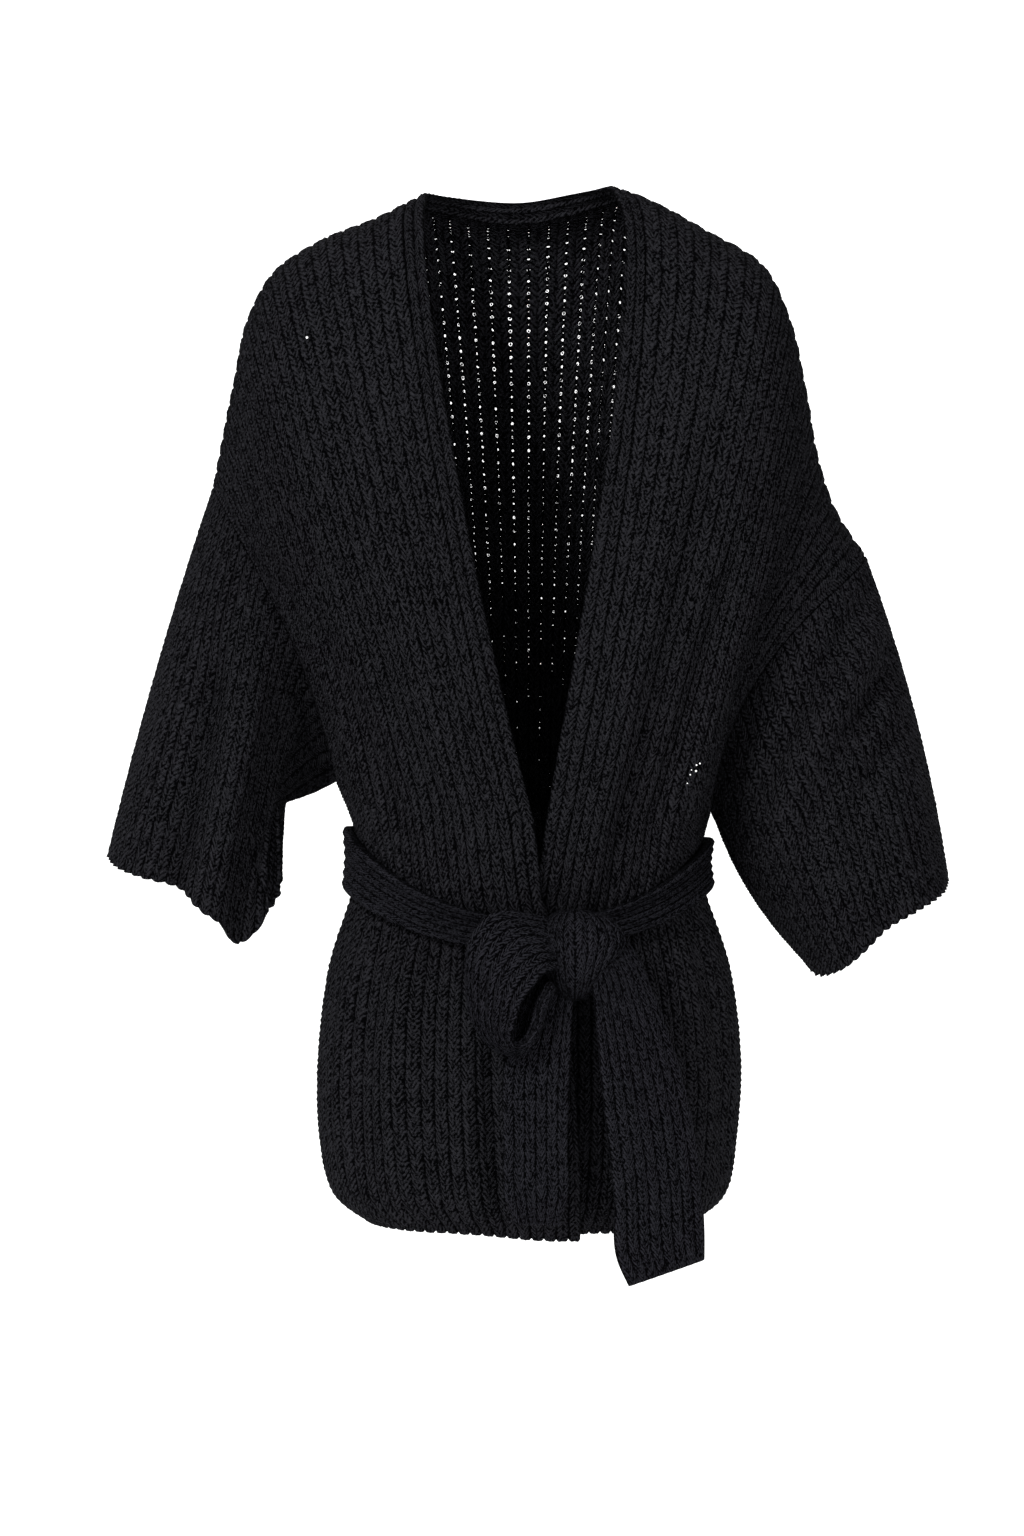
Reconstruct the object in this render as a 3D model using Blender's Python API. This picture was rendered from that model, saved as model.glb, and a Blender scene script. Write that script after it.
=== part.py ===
"""A belted wrap cardigan in chunky rib knit, held in the form it has when it is worn.

Every panel is one grid of points, its columns along the ribs and its rows across them. A panel becomes a wall:
the outer side carries the ribs, two columns to each, and the inner side is plain. Panels that are sewn together
share the points and the normals of their seam, and each keeps half of the seam's gap.

Tables are in millimetres and give the surface over the crests of the ribs. +Z is up, the wearer faces -Y, and the
origin lies between the shoulders.
"Right" and "left" are the wearer's, so the right front is on the -X side.
"""

import bmesh
import bpy
import numpy as np

MM = 0.001  # metres in a millimetre

# The knit
RIB_HEIGHT = 2.6  # how far a rib stands above the grooves beside it
WALL = 2.2  # the knit's thickness in a groove
SEAM_GAP = 0.6  # between two panels that are sewn together
FRONT_RIBS = 22
BAND_RIBS = 2
NECK_RIBS = 10
SLEEVE_RIBS = 50
BACK_RIBS = 2 * FRONT_RIBS + NECK_RIBS
COLUMNS_PER_RIB = 2
INNER_STEP = 4  # the plain inner side of a body panel has one column for this many outer ones
UPPER_ROWS = 10  # from the shoulder to the underarm
LOWER_ROWS = 8  # from the underarm to the hem
SLEEVE_ROWS = 6
BAND_WIDTH = 18.0

# Rows of a body panel: -1 is the shoulder, 0 the underarm, about 2 the belt and LOWER_ROWS the hem
ROWS = np.append(np.linspace(-1, 0, UPPER_ROWS + 1), np.arange(1, LOWER_ROWS + 1))

# The body below the underarm, which is a tube:
# row, height on the right, on the left, half width right, left, depth in front, behind, and how much lower the front is
BODY = (
    (0, -445, -468, 143, 138, 108, 100, 14),
    (1, -474, -482, 131, 134, 100, 96, 56),
    (2, -500, -503, 127, 129, 95, 92, 50),
    (3, -528, -528, 132, 135, 99, 95, 42),
    (4, -583, -583, 149, 153, 112, 106, 22),
    (5, -650, -650, 157, 161, 119, 112, 10),
    (6, -708, -708, 156, 158, 120, 112, 4),
    (7, -750, -750, 146, 150, 115, 106, 2),
    (8, -772, -772, 120, 126, 101, 94, 1),
)
ROUNDNESS = 2.3  # exponent of the body's section: 2 is an ellipse, and more is squarer

# The front edges below the underarm: row, where the right front ends and where the left one does
EDGES = (
    (0, 5, 14),
    (1, 13, 3),
    (2, 22, -3),
    (3, 26, -6),
    (4, 31, -9),
    (5, 35, -11),
    (6, 38, -12),
    (7, 39, -13),
    (8, 39, -13),
)

# The shoulder lines, from the neck to the top of the armhole: across, up
SHOULDER_RIGHT = ((-75, 0), (-110, -18), (-158, -38), (-190, -60), (-210, -96), (-220, -142), (-236, -223))
SHOULDER_LEFT = ((61, 5), (80, -1), (133, -28), (180, -58), (197, -93), (210, -148), (220, -203), (231, -236), (255, -274))
SHOULDER_DEPTH = 4  # the shoulder lines lie this far behind the origin

# How a rib leaves the shoulder and reaches the underarm row. Columns: place on the panel, 0 at its edge and 1 at the
# armhole; its handle at the shoulder, across, forward and down; its handle at the underarm, across, forward and up
FRONT_RIGHT_LINES = (
    (0.00, -14, 84, 22, -44, 4, 165),
    (0.30, -4, 92, 14, -42, 14, 165),
    (0.60, 0, 92, 8, -36, 34, 150),
    (0.85, 0, 84, 4, -26, 62, 120),
    (1.00, 0, 78, 6, -12, 76, 100),
)
FRONT_LEFT_LINES = (
    (0.00, 39, 84, 24, 26, 4, 165),
    (0.15, 22, 88, 18, 36, 8, 168),
    (0.40, 5, 92, 12, 46, 20, 168),
    (0.60, 0, 92, 8, 42, 34, 160),
    (0.85, 0, 84, 6, 24, 62, 140),
    (1.00, 0, 76, 18, 8, 74, 125),
)
# The same for the back, from its middle at 0 to either armhole at 1, pushed backward. Here the shoulder's handle is
# taken backward from the shoulder lines, also below the neck, so that the back stays smooth beside the neck
BACK_LINES = (
    (0.00, 0, 98, 6, 0, 10, 170),
    (0.12, 0, 104, 6, 2, 11, 170),
    (0.20, 0, 108, 6, 4, 12, 170),
    (0.32, 0, 104, 6, 8, 14, 170),
    (0.60, 0, 92, 8, 26, 26, 160),
    (0.85, 0, 80, 6, 24, 52, 130),
    (1.00, 0, 76, 10, 10, 70, 110),
)

# Where the left front passes under the right one, it lies this far in
UNDERLAP = 8.5
HEM_DROOP = 4  # how much lower the right front's corner hangs

# The back neck: the band's free edge and its sewn edge, from the right shoulder to the left. Across, back, up
NECK_EDGE = ((-58, 25, 0), (-7, 40, -3), (44, 25, 4))
NECK_SEAM = ((-72, 29, -9), (-7, 48, -17), (58, 29, -5))

# Each sleeve's opening: place round it, 0 on top, 0.5 under the arm, front first; then across, back and up
CUFF_RIGHT = (
    (0.00, -316, 4, -498),
    (0.08, -304, -44, -506),
    (0.20, -264, -72, -522),
    (0.30, -226, -70, -546),
    (0.36, -210, -54, -562),
    (0.41, -192, -52, -536),
    (0.45, -203, -50, -492),
    (0.50, -188, -4, -460),
    (0.56, -186, 34, -486),
    (0.64, -189, 62, -534),
    (0.72, -219, 76, -553),
    (0.82, -262, 74, -528),
    (0.92, -300, 50, -508),
    (1.00, -316, 4, -498),
)
CUFF_LEFT = (
    (0.00, 318, 6, -516),
    (0.10, 308, -42, -526),
    (0.24, 270, -70, -549),
    (0.38, 228, -58, -583),
    (0.45, 214, -28, -587),
    (0.50, 208, 0, -579),
    (0.56, 210, 30, -578),
    (0.66, 232, 66, -572),
    (0.80, 276, 76, -548),
    (0.92, 308, 50, -524),
    (1.00, 318, 6, -516),
)
# How far the middle of a sleeve stands off the straight line from armhole to cuff: place, across, back, up
SLEEVE_RIGHT_BELLY = (
    (0.00, -3, 0, 2),
    (0.25, 0, -16, 0),
    (0.36, -2, -6, 14),
    (0.42, -8, 0, 20),
    (0.50, 0, 0, -4),
    (0.58, -8, 0, 18),
    (0.64, -4, 6, 16),
    (0.75, 0, 16, 0),
    (1.00, -3, 0, 2),
)
SLEEVE_LEFT_BELLY = (
    (0.00, 7, 0, 0),
    (0.25, 0, -14, 0),
    (0.50, -7, 0, -5),
    (0.75, 0, 16, 0),
    (1.00, 7, 0, 0),
)

# Soft folds: panel, rib and row of one end, rib and row of the other, half width in ribs, height (less than 0 is a trough)
FOLDS = (
    ("front_right", 9, -0.45, 6, 0.6, 1.6, -5),
    ("front_right", 14, -0.3, 10, 0.8, 2.0, -5),
    ("front_right", 5, -0.5, 3, 0.8, 1.5, 4),
    ("front_right", 8, 3.2, 9, 5.6, 1.6, -4),
    ("front_right", 13, 3.2, 14, 5.2, 1.8, -4),
    ("front_right", 10.5, 3.2, 11.5, 5.4, 1.4, 3),
    ("front_left", 6, -0.55, 5, 0.8, 1.4, -6),
    ("front_left", 3.5, -0.6, 3, 0.8, 1.6, 5),
    ("front_left", 10, -0.4, 8, 0.8, 1.8, -5),
    ("front_left", 15, -0.5, 12, 0.6, 2.4, 5),
    ("front_left", 15, 3.1, 17, 5.0, 1.6, -4),
    ("front_left", 11, 3.2, 12, 5.4, 1.8, -3),
    ("back", 14, -0.2, 17, 0.9, 2.2, -5),
    ("back", 27, -0.1, 27, 0.9, 2.6, -5),
    ("back", 39, -0.25, 37, 0.9, 2.0, -5),
    ("back", 20, 3.1, 18, 5.4, 2.2, -5),
    ("back", 33, 3.1, 35, 5.8, 2.4, -5),
    ("back", 45, 3.1, 47, 5.0, 2.0, -4),
    ("sleeve_right", 9.5, 0.35, 10.5, 1.0, 2.2, -15),
    ("sleeve_right", 14, 0.3, 13.5, 1.0, 1.8, 6),
    ("sleeve_right", 38, 0.2, 36, 1.0, 3.0, -9),
    ("sleeve_left", 5, 0.15, 17, 0.22, 1.6, -5),
    ("sleeve_left", 8, 0.36, 20, 0.42, 1.6, -4),
    ("sleeve_left", 14, 0.6, 13, 1.0, 2.4, -6),
    ("sleeve_left", 36, 0.1, 38, 0.9, 3.0, -9),
)

# The belt
BELT_RIBS = 5
BELT_RIB_HEIGHT = 1.6
BELT_THICKNESS = 7.0
BELT_CLEARANCE = 1.2  # over the ribs of the body
BELT_STATIONS = 46
BELT_EDGES = ((0.0, 1.3, 2.75), (0.25, 1.12, 2.9), (0.5, 1.2, 2.85), (0.75, 1.2, 2.85), (1.0, 1.3, 2.75))
# The knot: centre, half sizes, and the lobe of its second strand on the left
KNOT_CENTRE = (37, -123, -568)
KNOT_HALF = (19, 15.5, 31)
KNOT_LOBE = (15, 18, 8)  # how far it stands out, half height, and how far it lies above the centre
KNOT_RIBS = 14
KNOT_ROWS = 12
KNOT_SQUARENESS = 2.6

# The loop's ribbon: place along it; its near edge across, back and up; its far edge across, back and up
LOOP = (
    (0.00, 12, -133, -577, 10, -123, -545),
    (0.09, 6, -145, -580, -5, -128, -537),
    (0.20, 0, -152, -588, -26, -131, -538),
    (0.32, -7, -156, -602, -43, -137, -560),
    (0.43, -10, -157, -618, -44, -141, -592),
    (0.52, -10, -154, -630, -39, -141, -614),
    (0.61, -5, -146, -635, -28, -137, -628),
    (0.70, 3, -138, -631, -16, -132, -629),
    (0.80, 8, -134, -617, -12, -131, -613),
    (0.90, 9, -133, -602, -10, -130, -592),
    (1.00, 10, -132, -590, -3, -128, -574),
)
LOOP_THICKNESS = 6.5
LOOP_RIBS = 5
LOOP_STATIONS = 21

# The hanging ends, from the top down: place; right edge across, back and up; left edge across, back and up
TAIL_RIGHT = (
    (0.00, -2, -121, -603, 34, -122, -602),
    (0.25, -15, -122, -640, 31, -123, -640),
    (0.55, -17, -128, -700, 29, -129, -700),
    (0.85, -16, -127, -742, 29, -127, -742),
    (1.00, -9, -123, -761, 23, -123, -762),
)
TAIL_LEFT = (
    (0.00, 58, -130, -594, 82, -126, -579),
    (0.12, 49, -133, -615, 94, -122, -600),
    (0.45, 55, -131, -680, 115, -111, -668),
    (0.72, 62, -125, -740, 125, -104, -728),
    (0.92, 65, -119, -788, 128, -101, -772),
    (1.00, 73, -117, -806, 128, -101, -789),
)
TAIL_THICKNESS = 7.0
TAIL_RIBS = 6
TAIL_STATIONS = 13

CHARCOAL = (0.012, 0.012, 0.014)
CHARCOAL_BELT = (0.014, 0.014, 0.016)


def smooth(table, at):
    """The table's columns at these values of its first column, on a smooth curve through the rows."""
    table, at = np.asarray(table, float), np.asarray(at, float)
    key, value = table[:, 0], table[:, 1:]
    slope = np.gradient(value, key, axis=0)
    first = np.clip(np.searchsorted(key, at, side="right") - 1, 0, len(key) - 2)
    span = (key[first + 1] - key[first])[..., None]
    f = (at - key[first])[..., None] / span
    return (
        (2 * f**3 - 3 * f**2 + 1) * value[first]
        + (f**3 - 2 * f**2 + f) * span * slope[first]
        + (3 * f**2 - 2 * f**3) * value[first + 1]
        + (f**3 - f**2) * span * slope[first + 1]
    )


def fade(value, start, end):
    """0 before start and 1 after end, with a smooth way between them."""
    f = np.clip((value - start) / (end - start), 0, 1)
    return f * f * (3 - 2 * f)


def unit(vectors):
    return vectors / np.linalg.norm(vectors, axis=-1, keepdims=True)


def lengths(points):
    """The length along a line of points, at each of them."""
    return np.append(0, np.cumsum(np.linalg.norm(np.diff(points, axis=0), axis=1)))


def along(points, distances):
    """The points at these distances along a line of points."""
    have = lengths(points)
    return np.stack([np.interp(distances, have, column) for column in points.T], axis=-1)


def curve(points, count=160):
    """A smooth line through a few points."""
    points = np.asarray(points, float)
    table = np.column_stack([lengths(points), points])
    return smooth(table, np.linspace(0, table[-1, 0], count))


def rib_distance(rib, length):
    """How far from the front edge a rib of a front lies, where the front is this wide. The band keeps its width."""
    beyond = (length - BAND_WIDTH) * (rib - BAND_RIBS) / FRONT_RIBS
    return np.where(rib < BAND_RIBS, BAND_WIDTH * rib / BAND_RIBS, BAND_WIDTH + beyond)


def shoulder(side):
    line = curve(SHOULDER_RIGHT if side == "right" else SHOULDER_LEFT)
    return np.column_stack([line[:, 0], np.full(len(line), SHOULDER_DEPTH), line[:, 1]])


def section(row, start, end, count=240):
    """Points of the body's section at a row of the tube, between two angles: 0 is the left side, 90 the front."""
    up_right, up_left, right, left, front, behind, dip = smooth(BODY, row)
    angle = np.radians(np.linspace(start, end, count))
    cos, sin = np.cos(angle), np.sin(angle)
    x = (left - right) / 2 + (left + right) / 2 * np.sign(cos) * np.abs(cos) ** (2 / ROUNDNESS)
    forward = np.sign(sin) * np.abs(sin) ** (2 / ROUNDNESS)
    y = -np.where(sin > 0, front, behind) * forward
    z = up_left + (up_right - up_left) * (left - x) / (left + right) - dip * np.maximum(forward, 0) ** 2
    return np.column_stack([x, y, z])


def angle_at(row, x):
    """The angle on the front of the body's section where it is this far across."""
    right, left = smooth(BODY, row)[2:4]
    share = (x - (left - right) / 2) / ((left + right) / 2)
    return np.degrees(np.arccos(np.sign(share) * np.abs(share) ** (ROUNDNESS / 2)))


def tube_front(side, ribs, row):
    edge = smooth(EDGES, row)[0 if side == "right" else 1]
    line = section(row, angle_at(row, edge), 180 if side == "right" else 0)
    return along(line, rib_distance(ribs, lengths(line)[-1]))


def tube_back(ribs, row):
    """The back's ribs are a little wider in the middle."""
    line = section(row, 180, 360)
    steps = np.linspace(0, BACK_RIBS, 109)
    width = 1 + 0.35 * np.exp(-(((steps - BACK_RIBS / 2) / 9) ** 2))
    place = np.append(0, np.cumsum((width[1:] + width[:-1]) / 2))
    return along(line, np.interp(ribs, steps, place / place[-1]) * lengths(line)[-1])


def bezier(ends, handles, t):
    (a, d), (b, c) = ends, handles
    return (1 - t) ** 3 * a + 3 * (1 - t) ** 2 * t * b + 3 * (1 - t) * t**2 * c + t**3 * d


def front_row(side, ribs, row):
    """A row of points of a front, at these ribs from its edge."""
    if row >= 0:
        points = tube_front(side, ribs, row)
    else:
        line = shoulder(side)
        top = along(line, rib_distance(ribs, lengths(line)[-1]))
        bottom = tube_front(side, ribs, 0)
        lines = FRONT_RIGHT_LINES if side == "right" else FRONT_LEFT_LINES
        aside, forward, down, across, push, up = smooth(lines, ribs / (BAND_RIBS + FRONT_RIBS)).T
        leaving = top + np.column_stack([aside, -forward, -down])
        arriving = bottom + np.column_stack([across, -push, up])
        points = bezier((top, bottom), (leaving, arriving), row + 1)
    if side == "right":
        droop = HEM_DROOP * fade(row, LOWER_ROWS - 2, LOWER_ROWS) * (1 - fade(ribs, 2, 9))
        points = points - np.column_stack([0 * ribs, 0 * ribs, droop])
    else:
        under = fade(row, -0.45, 0.1) * (1 - fade(ribs, 7, 12))
        points = points + np.column_stack([0 * ribs, UNDERLAP * under, 0 * ribs])
    return points


def neck_line(side_points, ends):
    """The back neck's curve through three points, between its ends on the two shoulder lines."""
    return curve([ends[0], *side_points, ends[1]])


def neck_edges():
    """The neck band's free edge and its sewn edge, as lines from the right shoulder to the left."""
    right, left = shoulder("right"), shoulder("left")
    free = neck_line(NECK_EDGE, (right[0], left[0]))
    sewn = neck_line(NECK_SEAM, (along(right, BAND_WIDTH), along(left, BAND_WIDTH)))
    return free, sewn


def back_top(ribs):
    """The back's top edge: the right shoulder, the neck and the left shoulder."""
    sewn = neck_edges()[1]
    right, left = shoulder("right"), shoulder("left")
    on_right = along(right, rib_distance(BAND_RIBS + FRONT_RIBS - ribs, lengths(right)[-1]))
    on_left = along(left, rib_distance(ribs - FRONT_RIBS - NECK_RIBS + BAND_RIBS, lengths(left)[-1]))
    stops = along(sewn, np.linspace(0, 1, NECK_RIBS + 1) * lengths(sewn)[-1])
    on_neck = np.stack([np.interp(ribs - FRONT_RIBS, np.arange(NECK_RIBS + 1), x) for x in stops.T], axis=-1)
    first, last = (ribs <= FRONT_RIBS)[:, None], (ribs >= FRONT_RIBS + NECK_RIBS)[:, None]
    return np.where(first, on_right, np.where(last, on_left, on_neck))


def back_row(ribs, row):
    """A row of points of the back, at these ribs from its right side."""
    if row >= 0:
        return tube_back(ribs, row)
    top, bottom = back_top(ribs), tube_back(ribs, 0)
    place = ribs / BACK_RIBS * 2 - 1
    aside, back, down, across, push, up = smooth(BACK_LINES, np.abs(place)).T
    leaving = np.column_stack([top[:, 0] + aside * np.sign(place), SHOULDER_DEPTH + back, top[:, 2] - down])
    arriving = bottom + np.column_stack([across * np.sign(place), push, up])
    return bezier((top, bottom), (leaving, arriving), row + 1)


def half_ribs(ribs, start=0):
    """The columns of a panel, as places counted in ribs: grooves on whole numbers, crests between them."""
    return start + np.arange(ribs * COLUMNS_PER_RIB + 1) / COLUMNS_PER_RIB


def front_grid(side):
    ribs = half_ribs(FRONT_RIBS, BAND_RIBS)
    return np.array([front_row(side, ribs, row) for row in ROWS])


def back_grid():
    return np.array([back_row(half_ribs(BACK_RIBS), row) for row in ROWS])


def band_grid():
    """The band's rows run up the right front's edge, round the neck and down the left front's edge."""
    ribs = half_ribs(BAND_RIBS)
    free, sewn = neck_edges()
    rows = [front_row("right", ribs, row) for row in ROWS[::-1]]
    for place in np.linspace(0, 1, NECK_RIBS + 1)[1:-1]:
        ends = [along(line, place * lengths(line)[-1]) for line in (free, sewn)]
        rows.append(ends[0] + (ends[1] - ends[0]) * (ribs / BAND_RIBS)[:, None])
    rows += [front_row("left", ribs, row) for row in ROWS]
    return np.array(rows)


def armhole(front, back):
    """The armhole's corners, from the top down the front and up the back, and then the top again."""
    return np.concatenate([front[: UPPER_ROWS + 1], back[:UPPER_ROWS][::-1]])


def between(corners):
    """Each column of the sleeve's first ring, on the straight edges between the armhole's corners."""
    place = np.linspace(0, len(corners) - 1, SLEEVE_RIBS * COLUMNS_PER_RIB + 1)
    return np.stack([np.interp(place, np.arange(len(corners)), column) for column in corners.T], axis=-1)


def sleeve_grid(corners, cuff, belly):
    start = between(corners)
    place = np.linspace(0, 1, len(start))
    end, off = smooth(cuff, place), smooth(belly, place)
    rows = np.linspace(0, 1, SLEEVE_ROWS + 1)
    return np.array([start + (end - start) * w + 4 * w * (1 - w) * off for w in rows])


def normals_of(grid, closed=False):
    """Normals of a grid by its neighbours, all to one side of it."""
    if closed:
        grid = np.concatenate([grid[:, -2:-1], grid, grid[:, 1:2]], axis=1)
    across, down = np.gradient(grid, axis=1), np.gradient(grid, axis=0)
    found = unit(np.cross(across, down))
    return found[:, 1:-1] if closed else found


def facing_out(grid, normals, centre):
    """The normals turned, all together, to point away from the centre."""
    return normals if ((grid - centre) * normals).sum() > 0 else -normals


def share_seams(grids, normals):
    """Points that panels share get the same normal, the mean of the panels'."""
    points = np.concatenate([grid.reshape(-1, 3) for grid in grids.values()])
    each = np.concatenate([normals[name].reshape(-1, 3) for name in grids])
    _, index = np.unique(np.round(points, 3), axis=0, return_inverse=True)
    index = index.reshape(-1)
    total = np.zeros((index.max() + 1, 3))
    np.add.at(total, index, each)
    each, start = unit(total[index]), 0
    for name, grid in grids.items():
        count = grid.size // 3
        normals[name] = each[start : start + count].reshape(grid.shape)
        start += count


def add_folds(name, grid, normals, rows):
    """The grid with its soft folds, which die away before the panel's edges."""
    ribs = np.arange(grid.shape[1]) / COLUMNS_PER_RIB
    row, rib = np.meshgrid(rows, ribs, indexing="ij")
    height = np.zeros(row.shape)
    for panel, rib_0, row_0, rib_1, row_1, half_width, depth in FOLDS:
        if panel == name:
            along_it = np.clip((row - row_0) / (row_1 - row_0), 0, 1)
            middle = rib_0 + (rib_1 - rib_0) * along_it
            reach = (row_1 - row_0) / 4
            ends = fade(row, row_0 - reach, row_0 + reach) * (1 - fade(row, row_1 - reach, row_1 + reach))
            if row_1 == rows[-1]:
                ends = fade(row, row_0 - reach, row_0 + reach)
            height += depth * ends * np.exp(-(((rib - middle) / half_width) ** 2))
    height *= fade(ribs, 0, 2) * fade(ribs[-1] - ribs, 0, 2)
    height *= fade(row, rows[0], rows[1])
    return grid + normals * height[..., None]


def inward(edge, beside, normals):
    """At each point of an edge of a panel, the way into the panel that is square to the edge and to its normal."""
    tangent = np.gradient(edge, axis=0)
    if np.allclose(edge[0], edge[-1]):
        tangent[[0, -1]] = edge[1] - edge[-2]
    side = unit(np.cross(tangent, normals))
    return side * np.sign((side * (beside - edge)).sum())


def pulled_in(grid, normals, closed=False):
    """The grid with its sewn edges drawn in by half of the seam's gap."""
    made = grid.copy()
    made[0] += inward(grid[0], grid[1], normals[0]) * SEAM_GAP / 2
    made[-1] += inward(grid[-1], grid[-2], normals[-1]) * SEAM_GAP / 2
    if not closed:
        made[:, 0] += inward(grid[:, 0], grid[:, 1], normals[:, 0]) * SEAM_GAP / 2
        made[:, -1] += inward(grid[:, -1], grid[:, -2], normals[:, -1]) * SEAM_GAP / 2
    return made


def material(name, colour, roughness):
    made = bpy.data.materials.new(name)
    made.use_nodes = True
    shader = made.node_tree.nodes["Principled BSDF"]
    shader.inputs["Base Color"].default_value = (*colour, 1)
    shader.inputs["Roughness"].default_value = roughness
    shader.inputs["Metallic"].default_value = 0
    return made


def add_object(name, bm, colour=CHARCOAL):
    bmesh.ops.recalc_face_normals(bm, faces=bm.faces)
    if bm.calc_volume(signed=True) < 0:
        bmesh.ops.reverse_faces(bm, faces=bm.faces)
    mesh = bpy.data.meshes.new(name)
    bm.to_mesh(mesh)
    bm.free()
    mesh.shade_smooth()
    mesh.set_sharp_from_angle(angle=np.radians(50))
    mesh.materials.append(material(name + "_knit", colour, 0.95))
    made = bpy.data.objects.new(name, mesh)
    bpy.context.scene.collection.objects.link(made)
    return made


def stitch(bm, outer, inner, chosen):
    """The rim between an outer edge and an inner one, whose points lie under the chosen ones of the outer's."""
    for i, (start, end) in enumerate(zip(chosen[:-1], chosen[1:])):
        piece = outer[start : end + 1]
        half = (end - start) // 2
        for a, b in zip(piece[:half], piece[1 : half + 1]):
            bm.faces.new((a, b, inner[i]))
        bm.faces.new((piece[half], inner[i + 1], inner[i]))
        for a, b in zip(piece[half:-1], piece[half + 1 :]):
            bm.faces.new((a, b, inner[i + 1]))


def knit_wall(name, grid, normals, chosen, closed=False):
    """One panel: ribs on the outer side, a plain inner side under the chosen columns, and rims along the edges."""
    rows, columns = grid.shape[:2]
    groove = (np.arange(columns) % COLUMNS_PER_RIB == 0)[None, :, None]
    outside = grid - normals * RIB_HEIGHT * groove
    inside = (grid - normals * (RIB_HEIGHT + WALL))[:, chosen]
    bm = bmesh.new()
    sides = []
    for points in (outside, inside):
        if closed:
            points = points[:, :-1]
        verts = [[bm.verts.new(point * MM) for point in row] for row in points]
        sides.append([row + row[:1] for row in verts] if closed else verts)
    for verts in sides:
        for above, below in zip(verts[:-1], verts[1:]):
            for i in range(len(above) - 1):
                bm.faces.new((above[i], above[i + 1], below[i + 1], below[i]))
    outer, inner = sides
    stitch(bm, outer[0], inner[0], chosen)
    stitch(bm, outer[-1], inner[-1], chosen)
    if not closed:
        for end in (0, -1):
            for row in range(rows - 1):
                bm.faces.new((outer[row][end], outer[row + 1][end], inner[row + 1][end], inner[row][end]))
    return add_object(name, bm)


def knit_panels():
    """All panels of the cardigan, with the seams that they share."""
    grids = {
        "back": back_grid(),
        "front_right": front_grid("right"),
        "front_left": front_grid("left"),
        "front_band": band_grid(),
    }
    right = armhole(grids["front_right"][:, -1], grids["back"][:, 0])
    left = armhole(grids["front_left"][:, -1], grids["back"][:, -1])
    grids["sleeve_right"] = sleeve_grid(right, CUFF_RIGHT, SLEEVE_RIGHT_BELLY)
    grids["sleeve_left"] = sleeve_grid(left, CUFF_LEFT, SLEEVE_LEFT_BELLY)
    normals = {}
    for name, grid in grids.items():
        is_sleeve = name.startswith("sleeve")
        centre = grid.mean(axis=(0, 1)) if is_sleeve else np.array([0, 0, -380])
        normals[name] = facing_out(grid, normals_of(grid, is_sleeve), centre)
    per_corner = SLEEVE_RIBS // UPPER_ROWS
    for name in ("sleeve_right", "sleeve_left"):
        normals[name][0, UPPER_ROWS * per_corner] *= 2  # as the front and the back both end there
    share_seams(grids, normals)
    for name in ("sleeve_right", "sleeve_left"):
        normals[name][0] = unit(between(normals[name][0][::per_corner]))
    for name, grid in grids.items():
        closed = name.startswith("sleeve")
        rows = np.linspace(0, 1, len(grid)) if closed else ROWS
        if name != "front_band":
            grid = add_folds(name, grid, normals[name], rows)
        chosen = np.arange(0, grid.shape[1], per_corner if closed else INNER_STEP)
        if name == "back":
            neck = np.arange(FRONT_RIBS, FRONT_RIBS + NECK_RIBS) * COLUMNS_PER_RIB
            chosen = np.union1d(chosen, neck)
        knit_wall(name, pulled_in(grid, normals[name], closed), normals[name], chosen, closed)


def ribbed_outline(width, thickness, ribs, rib_height):
    """Half of a flat knitted tube's section: points across its face, with how far each stands out."""
    across = np.linspace(-0.5, 0.5, ribs * COLUMNS_PER_RIB + 1)
    crown = 1 - np.abs(2 * across) ** 4
    crest = np.arange(len(across)) % COLUMNS_PER_RIB
    return across * width, (0.25 + 0.75 * crown) * thickness / 2 + rib_height * crest


def skin(name, rings, closed, colour=CHARCOAL_BELT):
    """A closed solid through rings of points, with flat ends, or one that runs back into itself."""
    bm = bmesh.new()
    verts = [[bm.verts.new(point * MM) for point in ring] for ring in rings]
    pairs = list(zip(verts, verts[1:] + verts[:1])) if closed else list(zip(verts[:-1], verts[1:]))
    for first, second in pairs:
        for i in range(len(first)):
            j = (i + 1) % len(first)
            bm.faces.new((first[i], first[j], second[j], second[i]))
    if not closed:
        for ring in (verts[0], verts[-1]):
            half = len(ring) // 2
            for i in range(half - 1):
                bm.faces.new((ring[i], ring[i + 1], ring[-2 - i], ring[-1 - i]))
    return add_object(name, bm, colour)


def belt_waist():
    """The belt round the waist, over the ribs of the body: ribs outside, plain inside."""
    place = np.arange(BELT_STATIONS) / BELT_STATIONS
    tops, bottoms = smooth(BELT_EDGES, place).T
    rings = []
    for i in range(BELT_STATIONS):
        rows = np.linspace(tops[i], bottoms[i], BELT_RIBS * COLUMNS_PER_RIB + 1)
        points, outward = [], []
        for row in rows:
            ring = section(row, 90, 450, 481)
            nearby = [along(ring, (place[i] + shift) % 1 * lengths(ring)[-1]) for shift in (-0.004, 0, 0.004)]
            points.append(nearby[1])
            way = np.cross(nearby[2] - nearby[0], (0, 0, 1))
            outward.append(way if way @ (nearby[1] * (1, 1, 0)) > 0 else -way)
        points, outward = np.array(points), unit(np.array(outward))
        _, proud = ribbed_outline(1, BELT_THICKNESS, BELT_RIBS, BELT_RIB_HEIGHT)
        outer = points + outward * (BELT_CLEARANCE + BELT_THICKNESS / 2 + proud)[:, None]
        inner = points + outward * BELT_CLEARANCE
        rings.append(np.concatenate([outer, inner[::-5]]))
    return skin("belt_waist", np.array(rings), closed=True)


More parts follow.
